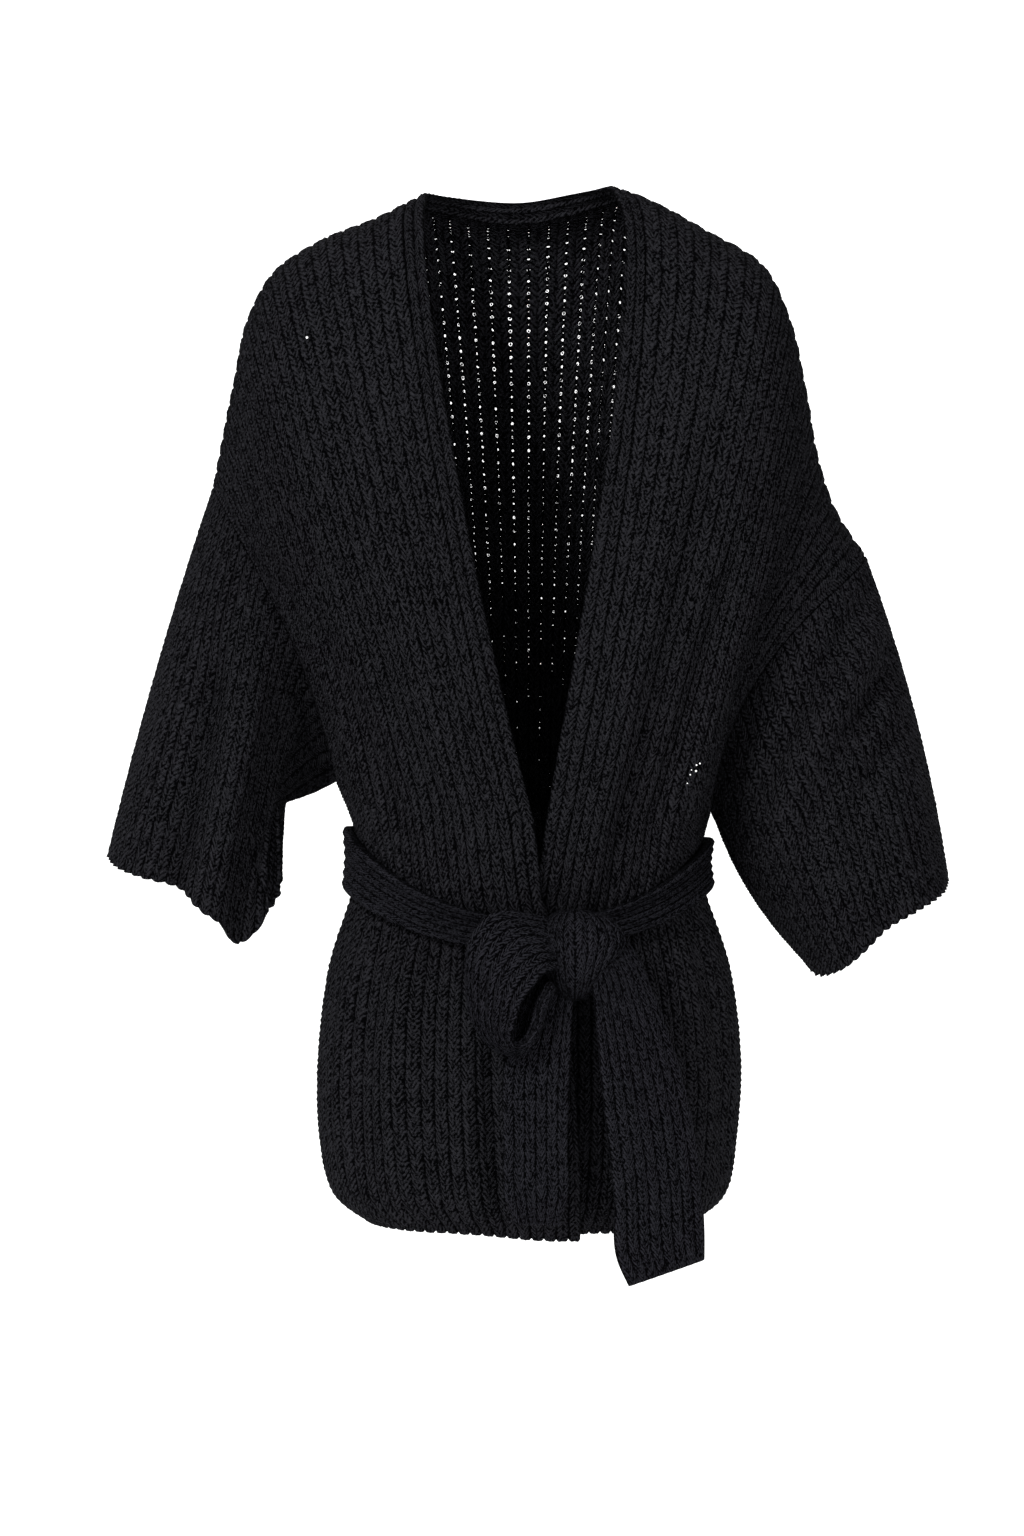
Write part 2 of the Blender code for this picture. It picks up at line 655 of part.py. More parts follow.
def knot():
    """A rounded knot with ribs from top to bottom, and the second strand's lobe on its left."""
    around = np.linspace(0, 2 * np.pi, KNOT_RIBS * COLUMNS_PER_RIB, endpoint=False)
    power = 2 / KNOT_SQUARENESS
    half = np.array(KNOT_HALF)
    out, tall, above = KNOT_LOBE
    bm = bmesh.new()
    rings = []
    for tilt in np.linspace(-np.pi / 2, np.pi / 2, KNOT_ROWS + 1)[1:-1]:
        ring = []
        for i, turn in enumerate(around):
            cos, sin = np.cos(turn), np.sin(turn)
            flat = np.array([np.sign(cos) * abs(cos) ** power, np.sign(sin) * abs(sin) ** power])
            x, y = flat * np.cos(tilt) ** power * (half[:2] + 1.4 * (i % COLUMNS_PER_RIB))
            z = np.sign(tilt) * abs(np.sin(tilt)) ** power * half[2]
            x += out * max(cos, 0) ** 2 * np.exp(-(((z - above) / tall) ** 2)) * np.cos(tilt)
            ring.append(bm.verts.new((np.array([x, y, z]) + KNOT_CENTRE) * MM))
        rings.append(ring)
    for lower, upper in zip(rings[:-1], rings[1:]):
        for i in range(len(lower)):
            j = (i + 1) % len(lower)
            bm.faces.new((lower[i], lower[j], upper[j], upper[i]))
    for ring, sign in ((rings[0], -1), (rings[-1], 1)):
        pole = bm.verts.new((np.array(KNOT_CENTRE) + (0, 0, sign * half[2])) * MM)
        for i in range(len(ring)):
            bm.faces.new((ring[i], ring[(i + 1) % len(ring)], pole))
    return add_object("belt_knot", bm, CHARCOAL_BELT)


def ribbon(name, table, stations, thickness, ribs):
    """A flat knitted tube between its two edges, whose places along it a table gives."""
    keys = smooth(table, np.linspace(0, 1, stations))
    one, other = keys[:, :3], keys[:, 3:]
    middles, wide = (one + other) / 2, unit(other - one)
    face = unit(np.cross(np.gradient(middles, axis=0), wide))
    rings = []
    for middle, side, out, width in zip(middles, wide, face, np.linalg.norm(other - one, axis=1)):
        across, proud = ribbed_outline(width, thickness, ribs, BELT_RIB_HEIGHT)
        front = middle + side * across[:, None] + out * proud[:, None]
        behind = middle + side * across[:, None] - out * proud[:, None]
        rings.append(np.concatenate([front, behind[::-1]]))
    return skin(name, np.array(rings), closed=False)


def main():
    for old in list(bpy.data.objects):
        bpy.data.objects.remove(old)
    knit_panels()
    belt_waist()
    knot()
    ribbon("belt_loop", LOOP, LOOP_STATIONS, LOOP_THICKNESS, LOOP_RIBS)
    ribbon("belt_tail_right", TAIL_RIGHT, TAIL_STATIONS, TAIL_THICKNESS, TAIL_RIBS)
    ribbon("belt_tail_left", TAIL_LEFT, TAIL_STATIONS, TAIL_THICKNESS, TAIL_RIBS)


main()
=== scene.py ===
"""A belted wrap cardigan in chunky charcoal rib knit, held in the form it has when it is worn.

The form is worked out by the same functions as the solids, at a finer spacing: every panel is one grid of
points, its columns along the ribs and its rows across them. Each panel becomes a closed wall with rounded
ribs and stitches on its outer side and shallower ribs on its inner side. UV coordinates count ribs across
and stitches along.

Tables are in millimetres and give the surface over the crests of the ribs. +Z is up, the wearer faces -Y.
"Right" and "left" are the wearer's, so the right front is on the -X side.
"""

from functools import partial

import bmesh
import bpy
import numpy as np
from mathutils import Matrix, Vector


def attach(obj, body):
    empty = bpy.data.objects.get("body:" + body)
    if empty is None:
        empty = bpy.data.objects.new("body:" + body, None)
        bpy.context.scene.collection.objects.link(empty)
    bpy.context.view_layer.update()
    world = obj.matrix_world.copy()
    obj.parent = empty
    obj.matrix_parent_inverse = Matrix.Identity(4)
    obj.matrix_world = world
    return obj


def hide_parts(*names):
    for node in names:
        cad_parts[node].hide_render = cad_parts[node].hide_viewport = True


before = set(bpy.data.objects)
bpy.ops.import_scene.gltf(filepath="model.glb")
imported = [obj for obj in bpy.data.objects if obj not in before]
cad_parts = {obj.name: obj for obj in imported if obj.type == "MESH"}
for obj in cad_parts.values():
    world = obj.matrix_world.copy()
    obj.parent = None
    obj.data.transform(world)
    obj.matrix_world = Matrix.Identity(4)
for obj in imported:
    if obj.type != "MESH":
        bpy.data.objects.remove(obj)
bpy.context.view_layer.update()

MM = 0.001  # metres in a millimetre

# How finely the knit is modelled
STITCH = 4.5  # the height of one stitch
FRONT_COLUMNS = 6  # points across a rib
BACK_COLUMNS = 3
BODY_ROWS = 0.5  # rows of points are this many stitches apart
BACK_ROWS = 0.65
SLEEVE_COLUMNS = 5
BAND_COLUMNS = 8
BELT_COLUMNS = 8
INNER_RELIEF = 1.3  # the ribs on the inner side stand this far out between those of the outer side
STITCH_RELIEF = 1.3  # a stitch stands this far above the dip between it and the next one
STITCH_MIDDLE = 0.7  # the share of a stitch's relief that lies at the solids' surface
GROOVE = 0.72  # how much of the solids' groove is seen between two ribs, as loose yarn fills the rest
TOP_GROOVE, TOP_STITCHES = 0.28, 60  # the same where the shoulders pull the ribs flat, for this many stitches
GROOVE_CHANGE = 0.3  # how much the grooves' depth changes from place to place
LOOSENESS = 0.35  # and the height of the stitches
CREST_SHARE = 1.6  # how soon a stitch reaches its height on a rib's side: 1 is only on the crest
RIB_FULLNESS = 2.4  # exponent of a rib's section: 2 is round, and more is fuller
LEG_RISE = 1.2  # how far a stitch's legs rise from the middle of the rib to its edge, in stitches to a rib
WAVES = ((0.9, 0.05), (2.3, 0.11), (0.37, 0.21), (3.1, 0.043))  # of unevenness: changes across and along
RIB_PITCH = 9.4  # from one rib to the next on the body
SLEEVE_PITCH = 8.0
SEAM_REACH = 8.0  # the wall turns towards a seam's own direction within this distance of it
SCALLOP = 1.1  # the ribs' ends hang this far below the grooves' ends at the hem and the cuffs

# The form, as in the solids
RIB_HEIGHT = 2.6  # how far a rib stands above the grooves beside it
WALL = 2.2  # the knit's thickness in a groove
BODY_MIDDLE = (0, 0, -380)
SEAM_GAP = 0.04  # between two panels that are sewn together. The solids have 0.3
FRONT_RIBS = 22
BAND_RIBS = 2
NECK_RIBS = 13  # as the photo's columns of gaps. The solids have 10
SLEEVE_RIBS = 50
BACK_RIBS = 2 * FRONT_RIBS + NECK_RIBS
UPPER_ROWS = 10  # from the shoulder to the underarm
LOWER_ROWS = 8  # from the underarm to the hem
BAND_WIDTH = 18.0


# The body below the underarm, which is a tube:
# row, height on the right, on the left, half width right, left, depth in front, behind, and how much lower
# the front is
BODY = (
    (0, -445, -468, 143, 138, 108, 100, 14),
    (1, -474, -482, 131, 134, 100, 96, 56),
    (2, -500, -503, 127, 129, 95, 92, 50),
    (3, -528, -528, 132, 135, 99, 95, 42),
    (4, -583, -583, 149, 153, 112, 106, 22),
    (5, -650, -650, 157, 161, 119, 112, 10),
    (6, -708, -708, 156, 158, 120, 112, 4),
    (7, -750, -750, 146, 150, 115, 106, 2),
    (8, -772, -772, 120, 126, 101, 94, 1),
)
ROUNDNESS = 2.3  # exponent of the body's section: 2 is an ellipse, and more is squarer
WIDER_RIBS, WIDER_REACH = 0.35, 9  # how much wider the back's middle ribs are, and over how many ribs

# The front edges below the underarm: row, where the right front ends and where the left one does
EDGES = (
    (0, 5, 14),
    (1, 13, 3),
    (2, 22, -3),
    (3, 26, -6),
    (4, 31, -9),
    (5, 35, -11),
    (6, 38, -12),
    (7, 39, -13),
    (8, 39, -13),
)

# The shoulder lines, from the neck to the top of the armhole: across, up
SHOULDER_RIGHT = ((-75, 0), (-110, -18), (-158, -38), (-190, -60), (-210, -96), (-220, -142), (-236, -223))
SHOULDER_LEFT = (
    (61, 5), (80, -1), (133, -28), (180, -58), (197, -93), (210, -148), (220, -203), (231, -236), (255, -274),
)
SHOULDER_DEPTH = 4  # the shoulder lines lie this far behind the origin

# How a rib leaves the shoulder and reaches the underarm row. Columns: place on the panel, 0 at its edge and
# 1 at the armhole; its handle at the shoulder, across, forward and down; its handle at the underarm, across,
# forward and up
FRONT_RIGHT_LINES = (
    (0.00, -14, 84, 22, -44, 4, 165),
    (0.30, -4, 92, 14, -42, 14, 165),
    (0.60, 0, 92, 8, -36, 34, 150),
    (0.85, 0, 84, 4, -26, 62, 120),
    (1.00, 0, 78, 6, -12, 76, 100),
)
FRONT_LEFT_LINES = (
    (0.00, 39, 84, 24, 26, 4, 165),
    (0.15, 22, 88, 18, 36, 8, 168),
    (0.40, 5, 92, 12, 46, 20, 168),
    (0.60, 0, 92, 8, 42, 34, 160),
    (0.85, 0, 84, 6, 24, 62, 140),
    (1.00, 0, 76, 18, 8, 74, 125),
)
# The same for the back, from its middle at 0 to either armhole at 1, pushed backward. Here the shoulder's
# handle is taken backward from the shoulder lines, also below the neck, so that the back stays smooth beside
# the neck
BACK_LINES = (
    (0.00, 0, 98, 6, 0, 10, 170),
    (0.12, 0, 104, 6, 2, 11, 170),
    (0.20, 0, 108, 6, 4, 12, 170),
    (0.32, 0, 104, 6, 8, 14, 170),
    (0.60, 0, 92, 8, 26, 26, 160),
    (0.85, 0, 80, 6, 24, 52, 130),
    (1.00, 0, 76, 10, 10, 70, 110),
)

# Where the left front passes under the right one, it lies this far in
UNDERLAP, UNDERLAP_ROWS, UNDERLAP_RIBS = 8.5, (-0.45, 0.1), (7, 12)
# How much lower the right front's corner hangs
HEM_DROOP, DROOP_ROWS, DROOP_RIBS = 4, (LOWER_ROWS - 2, LOWER_ROWS), (2, 9)

# The back neck: the band's free edge and its sewn edge, from the right shoulder to the left. Across, back, up
NECK_EDGE = ((-58, 25, 0), (-7, 40, -3), (44, 25, 4))
NECK_SEAM = ((-72, 29, -9), (-7, 48, -17), (58, 29, -5))

# Each sleeve's opening: place round it, 0 on top, 0.5 under the arm, front first; then across, back and up
CUFF_RIGHT = (
    (0.00, -316, 4, -498),
    (0.08, -304, -44, -506),
    (0.20, -264, -72, -522),
    (0.30, -226, -70, -546),
    (0.36, -210, -54, -562),
    (0.41, -192, -52, -536),
    (0.45, -203, -50, -492),
    (0.50, -188, -4, -460),
    (0.56, -186, 34, -486),
    (0.64, -189, 62, -534),
    (0.72, -219, 76, -553),
    (0.82, -262, 74, -528),
    (0.92, -300, 50, -508),
    (1.00, -316, 4, -498),
)
CUFF_LEFT = (
    (0.00, 318, 6, -516),
    (0.10, 308, -42, -526),
    (0.24, 270, -70, -549),
    (0.38, 228, -58, -583),
    (0.45, 214, -28, -587),
    (0.50, 208, 0, -579),
    (0.56, 210, 30, -578),
    (0.66, 232, 66, -572),
    (0.80, 276, 76, -548),
    (0.92, 308, 50, -524),
    (1.00, 318, 6, -516),
)
# How far the middle of a sleeve stands off the straight line from armhole to cuff: place, across, back, up
SLEEVE_RIGHT_BELLY = (
    (0.00, -3, 0, 2),
    (0.25, 0, -16, 0),
    (0.36, -2, -6, 14),
    (0.42, -8, 0, 20),
    (0.50, 0, 0, -4),
    (0.58, -8, 0, 18),
    (0.64, -4, 6, 16),
    (0.75, 0, 16, 0),
    (1.00, -3, 0, 2),
)
SLEEVE_LEFT_BELLY = (
    (0.00, 7, 0, 0),
    (0.25, 0, -14, 0),
    (0.50, -7, 0, -5),
    (0.75, 0, 16, 0),
    (1.00, 7, 0, 0),
)
SLEEVES = (("right", CUFF_RIGHT, SLEEVE_RIGHT_BELLY), ("left", CUFF_LEFT, SLEEVE_LEFT_BELLY))

# Soft folds of each panel. Columns: rib and row of one end, rib and row of the other, half width in ribs,
# height. A height under 0 is a trough
FOLDS = {
    "front_right": (
        (9, -0.45, 6, 0.6, 1.6, -7),
        (14, -0.3, 10, 0.8, 2.0, -8),
        (5, -0.5, 3, 0.8, 1.5, 4),
        (18.5, -0.45, 18, 0.4, 1.4, -7),
        (8, 3.2, 9, 7.6, 1.6, -6),
        (13, 3.2, 14, 6.8, 1.8, -7),
        (10.5, 3.2, 11.5, 5.4, 1.4, 3),
        (4.1, 3.6, 4.1, 7.6, 0.75, -8),
    ),
    "front_left": (
        (6, -0.55, 5, 0.8, 1.4, -8),
        (3.5, -0.6, 3, 0.8, 1.6, 5),
        (10, -0.4, 8, 0.8, 1.8, -8),
        (15, -0.5, 12, 0.6, 2.4, 5),
        (15, 3.1, 17, 6.5, 1.6, -7),
        (18.5, -0.5, 18, 0.6, 1.5, -9),
        (11, 3.2, 12, 6.4, 1.8, -5),
    ),
    "back": (
        (14, -0.2, 17, 0.9, 2.2, -5),
        (28.5, -0.1, 28.5, 0.9, 2.6, -5),
        (42, -0.25, 40, 0.9, 2.0, -5),
        (20, 3.1, 18, 5.4, 2.2, -5),
        (36, 3.1, 38, 5.8, 2.4, -5),
        (48, 3.1, 50, 5.0, 2.0, -4),
    ),
    "sleeve_right": (
        (9.5, 0.3, 10.5, 1.0, 2.2, -18),
        (14, 0.25, 13.5, 1.0, 1.8, 8),
        (38, 0.2, 36, 1.0, 3.0, -9),
    ),
    "sleeve_left": (
        (3, 0.04, 20, 0.27, 1.3, -9),
        (3, 0.17, 19, 0.39, 1.4, 6),
        (4, 0.29, 18, 0.50, 1.3, -9),
        (5, 0.47, 17, 0.66, 1.3, -6),
        (14, 0.6, 13, 1.0, 2.4, -6),
        (36, 0.1, 38, 0.9, 3.0, -9),
    ),
}

# The belt
BELT_RIBS = 6
BELT_RIB_HEIGHT = 1.6
BELT_THICKNESS = 7.0
BELT_CLEARANCE = 1.2  # over the ribs of the body
BELT_CHANGE = 0.3  # how uneven its faces are
END_SHARE = 0.35  # its thickness at a cut end, as a share of the whole
BELT_BESIDE = 0.004  # its direction is taken from this far to either side, as a share of its way round
# Its upper and lower edges: place round it from the front, and the rows of the body that the edges lie at
BELT_EDGES = ((0.0, 1.3, 2.75), (0.25, 1.12, 2.9), (0.5, 1.2, 2.85), (0.75, 1.2, 2.85), (1.0, 1.3, 2.75))
# The knot: centre, half sizes, and the lobe of its second strand on the left
KNOT_CENTRE = (34, -123, -568)
KNOT_HALF = (22, 16, 33)
KNOT_FLARE = 0.22  # how much wider it is at the top than in the middle
KNOT_LOBE = (13, 22, 12)  # how far it stands out, half height, and how far it lies above the centre
KNOT_RIBS = 24
KNOT_ROWS = 60
KNOT_RIB_HEIGHT = 1.4
KNOT_SQUARENESS = 2.6

# The loop and the hanging ends stand a little further forward than in the solids, and the loop's second
# strand turns back more, as in the photo. Columns: place along the loop; its near edge across, back and up;
# its far edge across, back and up
LOOP = (
    (0.00, 26, -131, -578, 22, -122, -543),
    (0.09, 15, -145, -579, -5, -128, -537),
    (0.20, 6, -152, -587, -26, -131, -538),
    (0.32, -4, -156, -601, -43, -137, -560),
    (0.43, -9, -157, -618, -44, -141, -592),
    (0.52, -11, -155, -624, -40, -143, -613),
    (0.60, -9, -154, -630, -29, -143, -629),
    (0.67, -5, -152, -630, -14, -142, -637),
    (0.74, 1, -151, -625, -1, -138, -634),
    (0.81, 6, -151, -615, 7, -131, -622),
    (0.90, 9, -150, -602, 11, -126, -606),
    (1.00, 17, -146, -586, 18, -124, -588),
)

# The hanging ends, from the top down: place; right edge across, back and up; left edge across, back and up
TAIL_RIGHT = (
    (0.00, 8, -118, -583, 34, -118, -583),
    (0.10, -2, -124, -603, 33, -126, -602),
    (0.25, -15, -131, -640, 31, -132, -640),
    (0.55, -17, -137, -700, 29, -138, -700),
    (0.85, -16, -136, -742, 29, -136, -742),
    (1.00, -9, -132, -761, 23, -132, -762),
)
TAIL_LEFT = (
    (0.00, 44, -126, -574, 72, -120, -556),
    (0.08, 47, -135, -594, 83, -126, -576),
    (0.16, 49, -141, -615, 93, -129, -600),
    (0.45, 55, -140, -680, 115, -119, -668),
    (0.72, 62, -134, -740, 125, -112, -728),
    (0.92, 65, -128, -788, 128, -109, -772),
    (1.00, 73, -126, -806, 128, -109, -789),
)
RIBBONS = (  # name, edges, thickness, ribs on each face, and the seed of its unevenness
    ("belt_loop", LOOP, 6.5, 7, 6),
    ("belt_tail_right", TAIL_RIGHT, 7.0, 6, 7),
    ("belt_tail_left", TAIL_LEFT, 7.0, 8, 8),
)

# The studio, in metres
CAMERA = (-0.011, -3.0, -0.4335)
CAMERA_LENS = 93.75
FLOOR = -1.25
PAPER_FRONT, PAPER_DEPTH, PAPER_WIDTH = -8.0, 16.0, 20.0
PAPER_BEND, PAPER_RISE = 2.2, 5.0  # the radius of the bend, and how far the wall rises above it
SKY_STRENGTH = 0.45
LIT_POINT = (0, 0, -0.43)
LIGHTS = (  # place, size, watts
    ((-1.7, -2.2, 1.5), 1.1, 150),
    ((2.2, -2.2, 0.3), 1.8, 48),
    ((0.0, 1.6, 1.8), 2.0, 34),
)

# The yarn. Scales count features to the metre
# The yarn's tone runs between these colours: painted light on the crests goes towards the light ones, and
# painted shade in grooves, between stitches and in pits goes towards YARN_DARK
YARN_LIGHT = (0.0150, 0.0150, 0.0176)
BELT_LIGHT = (0.0163, 0.0163, 0.0203)
YARN_DARK = (0.0004, 0.0004, 0.0006)
SHEEN_TINT = (0.55, 0.56, 0.62, 1)
YARN_BUMP = 0.0021  # in metres
PULL, PULL_SCALE = 0.6, 120.0  # how far stitches are pulled up or down, in stitches
SWAY, SWAY_SCALE = 0.11, 140.0  # and to a side, in ribs
LOOP_SHARPNESS, LEG_SHARPNESS, LEG_LOW = 1.2, 0.75, 0.15
# GROOVE_SHADE_SHARPNESS sets how narrow the painted shade in the grooves between ribs is
GROOVE_SHADE_SHARPNESS = 5.0
PLY_ACROSS, PLY_ALONG, PLY_SCALE = 5.0, 3.5, 1.6  # the strands of a stitch's yarn
FUZZ_SCALE, CLUMP_SCALE = 560.0, 190.0
FUZZ_HEIGHT, STRAND_HEIGHT = 0.9, 0.7
# How much each adds to the yarn's lightness: painted light on the stitches' crests, with painted shade
# between them; the strands, fuzz, each stitch's own number and clumps vary the tone at random
CREST_PAINTED_LIGHT, STRAND_LIGHT, FUZZ_LIGHT, OWN_LIGHT, CLUMP_LIGHT = 0.85, 0.9, 3.5, 0.4, 0.6
MEAN_LIGHT = 2.79  # what these add up to on average, taken off again
PIT_SCALE, PIT_SHARE, PIT_SHADE_DARKNESS = 360.0, 0.43, 3.0  # painted shade in small pits between fibres
# Columns: name, light yarn, looseness, how dark the painted shade in the grooves is, how steeply a stitch's
# legs rise, and gaps
FINISHES = (
    ("charcoal_rib_knit", YARN_LIGHT, 1.0, 0.45, 3.2, ""),
    ("charcoal_rib_knit_front", YARN_LIGHT, 1.0, 0.45, 3.2, "stray"),
    ("charcoal_rib_knit_open", YARN_LIGHT, 1.0, 0.45, 3.2, "rows"),
    ("charcoal_belt_knit", BELT_LIGHT, 0.8, 0.5, 4.2, ""),
)
# Columns: across and up at the origin's depth, how far it leans across and up on its way back, and radius
STRAY_GAPS = (
    (-164.8, -110.6, -0.0513, 0.1076, 0.90),
    (129.9, -430.1, 0.0470, 0.0011, 0.65),
    (127.4, -431.3, 0.0461, 0.0007, 0.65),
    (123.6, -435.0, 0.0449, -0.0005, 0.45),
    (127.0, -435.8, 0.0460, -0.0008, 0.75),
    (122.7, -438.5, 0.0446, -0.0017, 0.55),
    (120.5, -445.0, 0.0438, -0.0038, 0.45),
)
GAP_ROWS = 0.5  # rows of gaps to a stitch of the open knit
GAP_WIDTH, GAP_HEIGHT, DOT_HEIGHT = 0.1, 0.14, 0.05  # in ribs and in rows of gaps
DOT_NARROWNESS = 9.0
GAP_START = 1.6  # stitches below the neck's seam
RAGGED_SCALE, PATCH_SCALE = 520.0, 30.0


def smooth(table, at):
    """The table's columns at these values of its first column, on a smooth curve through the rows."""
    table, at = np.asarray(table, float), np.asarray(at, float)
    key, value = table[:, 0], table[:, 1:]
    slope = np.gradient(value, key, axis=0)
    first = np.clip(np.searchsorted(key, at, side="right") - 1, 0, len(key) - 2)
    span = (key[first + 1] - key[first])[..., None]
    f = (at - key[first])[..., None] / span
    return (
        (2 * f**3 - 3 * f**2 + 1) * value[first]
        + (f**3 - 2 * f**2 + f) * span * slope[first]
        + (3 * f**2 - 2 * f**3) * value[first + 1]
        + (f**3 - f**2) * span * slope[first + 1]
    )


def fade(value, start, end):
    """0 before start and 1 after end, with a smooth way between them."""
    f = np.clip((value - start) / (end - start), 0, 1)
    return f * f * (3 - 2 * f)


def unit(vectors):
    return vectors / np.linalg.norm(vectors, axis=-1, keepdims=True)


def lengths(points):
    """The length along a line of points, at each of them."""
    return np.append(0, np.cumsum(np.linalg.norm(np.diff(points, axis=0), axis=1)))


def between(keys, rows, places):
    """The rows of a table at these places between its keys, on straight lines."""
    return np.stack([np.interp(places, keys, column) for column in rows.T], axis=-1)


def along(points, distances):
    """The points at these distances along a line of points."""
    return between(lengths(points), points, distances)


def at_share(points, shares):
    """The points at these shares of the length of a line of points."""
    return along(points, shares * lengths(points)[-1])


def curve(points, count=160):
    """A smooth line through a few points."""
    points = np.asarray(points, float)
    table = np.column_stack([lengths(points), points])
    return smooth(table, np.linspace(0, table[-1, 0], count))


def at_ribs(points, ribs):
    """The points where these ribs from a front's edge cross a line. The band keeps its own width."""
    beyond = (lengths(points)[-1] - BAND_WIDTH) * (ribs - BAND_RIBS) / FRONT_RIBS
    return along(points, np.where(ribs < BAND_RIBS, BAND_WIDTH * ribs / BAND_RIBS, BAND_WIDTH + beyond))


def shoulder(side):
    line = curve(SHOULDER_RIGHT if side == "right" else SHOULDER_LEFT)
    return np.column_stack([line[:, 0], np.full(len(line), SHOULDER_DEPTH), line[:, 1]])


def squared_off(value, power):
    """A sine or cosine raised to a power, with its sign kept: a power under 1 makes a section squarer."""
    return np.sign(value) * np.abs(value) ** power


def section(row, start, end, count=240):
    """Points of the body's section at a row of the tube, between two angles: 0 is the left, 90 the front."""
    up_right, up_left, right, left, front, behind, dip = smooth(BODY, row)
    angle = np.radians(np.linspace(start, end, count))
    sin = np.sin(angle)
    x = (left - right) / 2 + (left + right) / 2 * squared_off(np.cos(angle), 2 / ROUNDNESS)
    forward = squared_off(sin, 2 / ROUNDNESS)
    y = -np.where(sin > 0, front, behind) * forward
    z = up_left + (up_right - up_left) * (left - x) / (left + right) - dip * np.maximum(forward, 0) ** 2
    return np.column_stack([x, y, z])


def angle_at(row, x):
    """The angle on the front of the body's section where it is this far across."""
    right, left = smooth(BODY, row)[2:4]
    share = (x - (left - right) / 2) / ((left + right) / 2)
    return np.degrees(np.arccos(squared_off(share, ROUNDNESS / 2)))


def tube_front(side, ribs, row):
    """A row of points of a front below the underarm."""
    edge = smooth(EDGES, row)[0 if side == "right" else 1]
    return at_ribs(section(row, angle_at(row, edge), 180 if side == "right" else 0), ribs)


def tube_back(ribs, row):
    """The back's ribs below the underarm, a little wider in the middle."""
    tries = np.linspace(0, BACK_RIBS, 109)
    width = 1 + WIDER_RIBS * np.exp(-(((tries - BACK_RIBS / 2) / WIDER_REACH) ** 2))
    place = np.append(0, np.cumsum((width[1:] + width[:-1]) / 2))
    return at_share(section(row, 180, 360), np.interp(ribs, tries, place / place[-1]))


def bezier(top, bottom, leaving, arriving, t):
    """Points on curves from the top to the bottom, by their handles at either end."""
    return (1 - t) ** 3 * top + 3 * (1 - t) ** 2 * t * leaving + 3 * (1 - t) * t**2 * arriving + t**3 * bottom


def front_row(side, ribs, row):
    """A row of points of a front, at these ribs from its edge."""
    if row >= 0:
        points = tube_front(side, ribs, row)
    else:
        top, bottom = at_ribs(shoulder(side), ribs), tube_front(side, ribs, 0)
        lines = FRONT_RIGHT_LINES if side == "right" else FRONT_LEFT_LINES
        aside, forward, down, across, push, up = smooth(lines, ribs / (BAND_RIBS + FRONT_RIBS)).T
        leaving = top + np.column_stack([aside, -forward, -down])
        arriving = bottom + np.column_stack([across, -push, up])
        points = bezier(top, bottom, leaving, arriving, row + 1)
    if side == "right":
        points[:, 2] -= HEM_DROOP * fade(row, *DROOP_ROWS) * (1 - fade(ribs, *DROOP_RIBS))
    else:
        points[:, 1] += UNDERLAP * fade(row, *UNDERLAP_ROWS) * (1 - fade(ribs, *UNDERLAP_RIBS))
    return points


def neck_edges():
    """The neck band's free edge and its sewn edge, as lines from the right shoulder to the left."""
    right, left = shoulder("right"), shoulder("left")
    free = curve([right[0], *NECK_EDGE, left[0]])
    return free, curve([along(right, BAND_WIDTH), *NECK_SEAM, along(left, BAND_WIDTH)])


def band_grid(ribs, rows, stops):
    """Rows of points of the band: up the right front's edge, round the neck and down the left front's."""
    edges = neck_edges()
    lines = [front_row("right", ribs, row) for row in rows[::-1]]
    for place in np.linspace(0, 1, stops + 1)[1:-1]:
        free, sewn = (at_share(line, place) for line in edges)
        lines.append(free + (sewn - free) * (ribs / BAND_RIBS)[:, None])
    return np.array(lines + [front_row("left", ribs, row) for row in rows])


def back_top(ribs):
    """The back's top edge: the right shoulder, the neck and the left shoulder."""
    on_right = at_ribs(shoulder("right"), BAND_RIBS + FRONT_RIBS - ribs)
    on_left = at_ribs(shoulder("left"), ribs - FRONT_RIBS - NECK_RIBS + BAND_RIBS)
    stops = at_share(neck_edges()[1], np.linspace(0, 1, NECK_RIBS + 1))
    on_neck = between(np.arange(NECK_RIBS + 1), stops, ribs - FRONT_RIBS)
    first, last = (ribs <= FRONT_RIBS)[:, None], (ribs >= FRONT_RIBS + NECK_RIBS)[:, None]
    return np.where(first, on_right, np.where(last, on_left, on_neck))


def back_row(ribs, row):
    """A row of points of the back, at these ribs from its right side."""
    if row >= 0:
        return tube_back(ribs, row)
    top, bottom = back_top(ribs), tube_back(ribs, 0)
    place = ribs / BACK_RIBS * 2 - 1
    aside, back, down, across, push, up = smooth(BACK_LINES, np.abs(place)).T
    leaving = np.column_stack([top[:, 0] + aside * np.sign(place), SHOULDER_DEPTH + back, top[:, 2] - down])
    arriving = bottom + np.column_stack([across * np.sign(place), push, up])
    return bezier(top, bottom, leaving, arriving, row + 1)


def normals_of(grid, closed=False):
    """Normals of a grid by its neighbours, all to one side of it."""
    if closed:
        grid = np.concatenate([grid[:, -2:-1], grid, grid[:, 1:2]], axis=1)
    across, down = np.gradient(grid, axis=1), np.gradient(grid, axis=0)
    found = unit(np.cross(across, down))
    return found[:, 1:-1] if closed else found


def evened(vectors, times):
    """Unit vectors made even along their rows, apart from the first and the last."""
    for _ in range(times):
        vectors[1:-1] = unit(vectors[:-2] + 2 * vectors[1:-1] + vectors[2:])
    return vectors


def facing_out(grid, normals, centre):
    """The normals turned, all together, to point away from the centre."""
    return normals if ((grid - centre) * normals).sum() > 0 else -normals


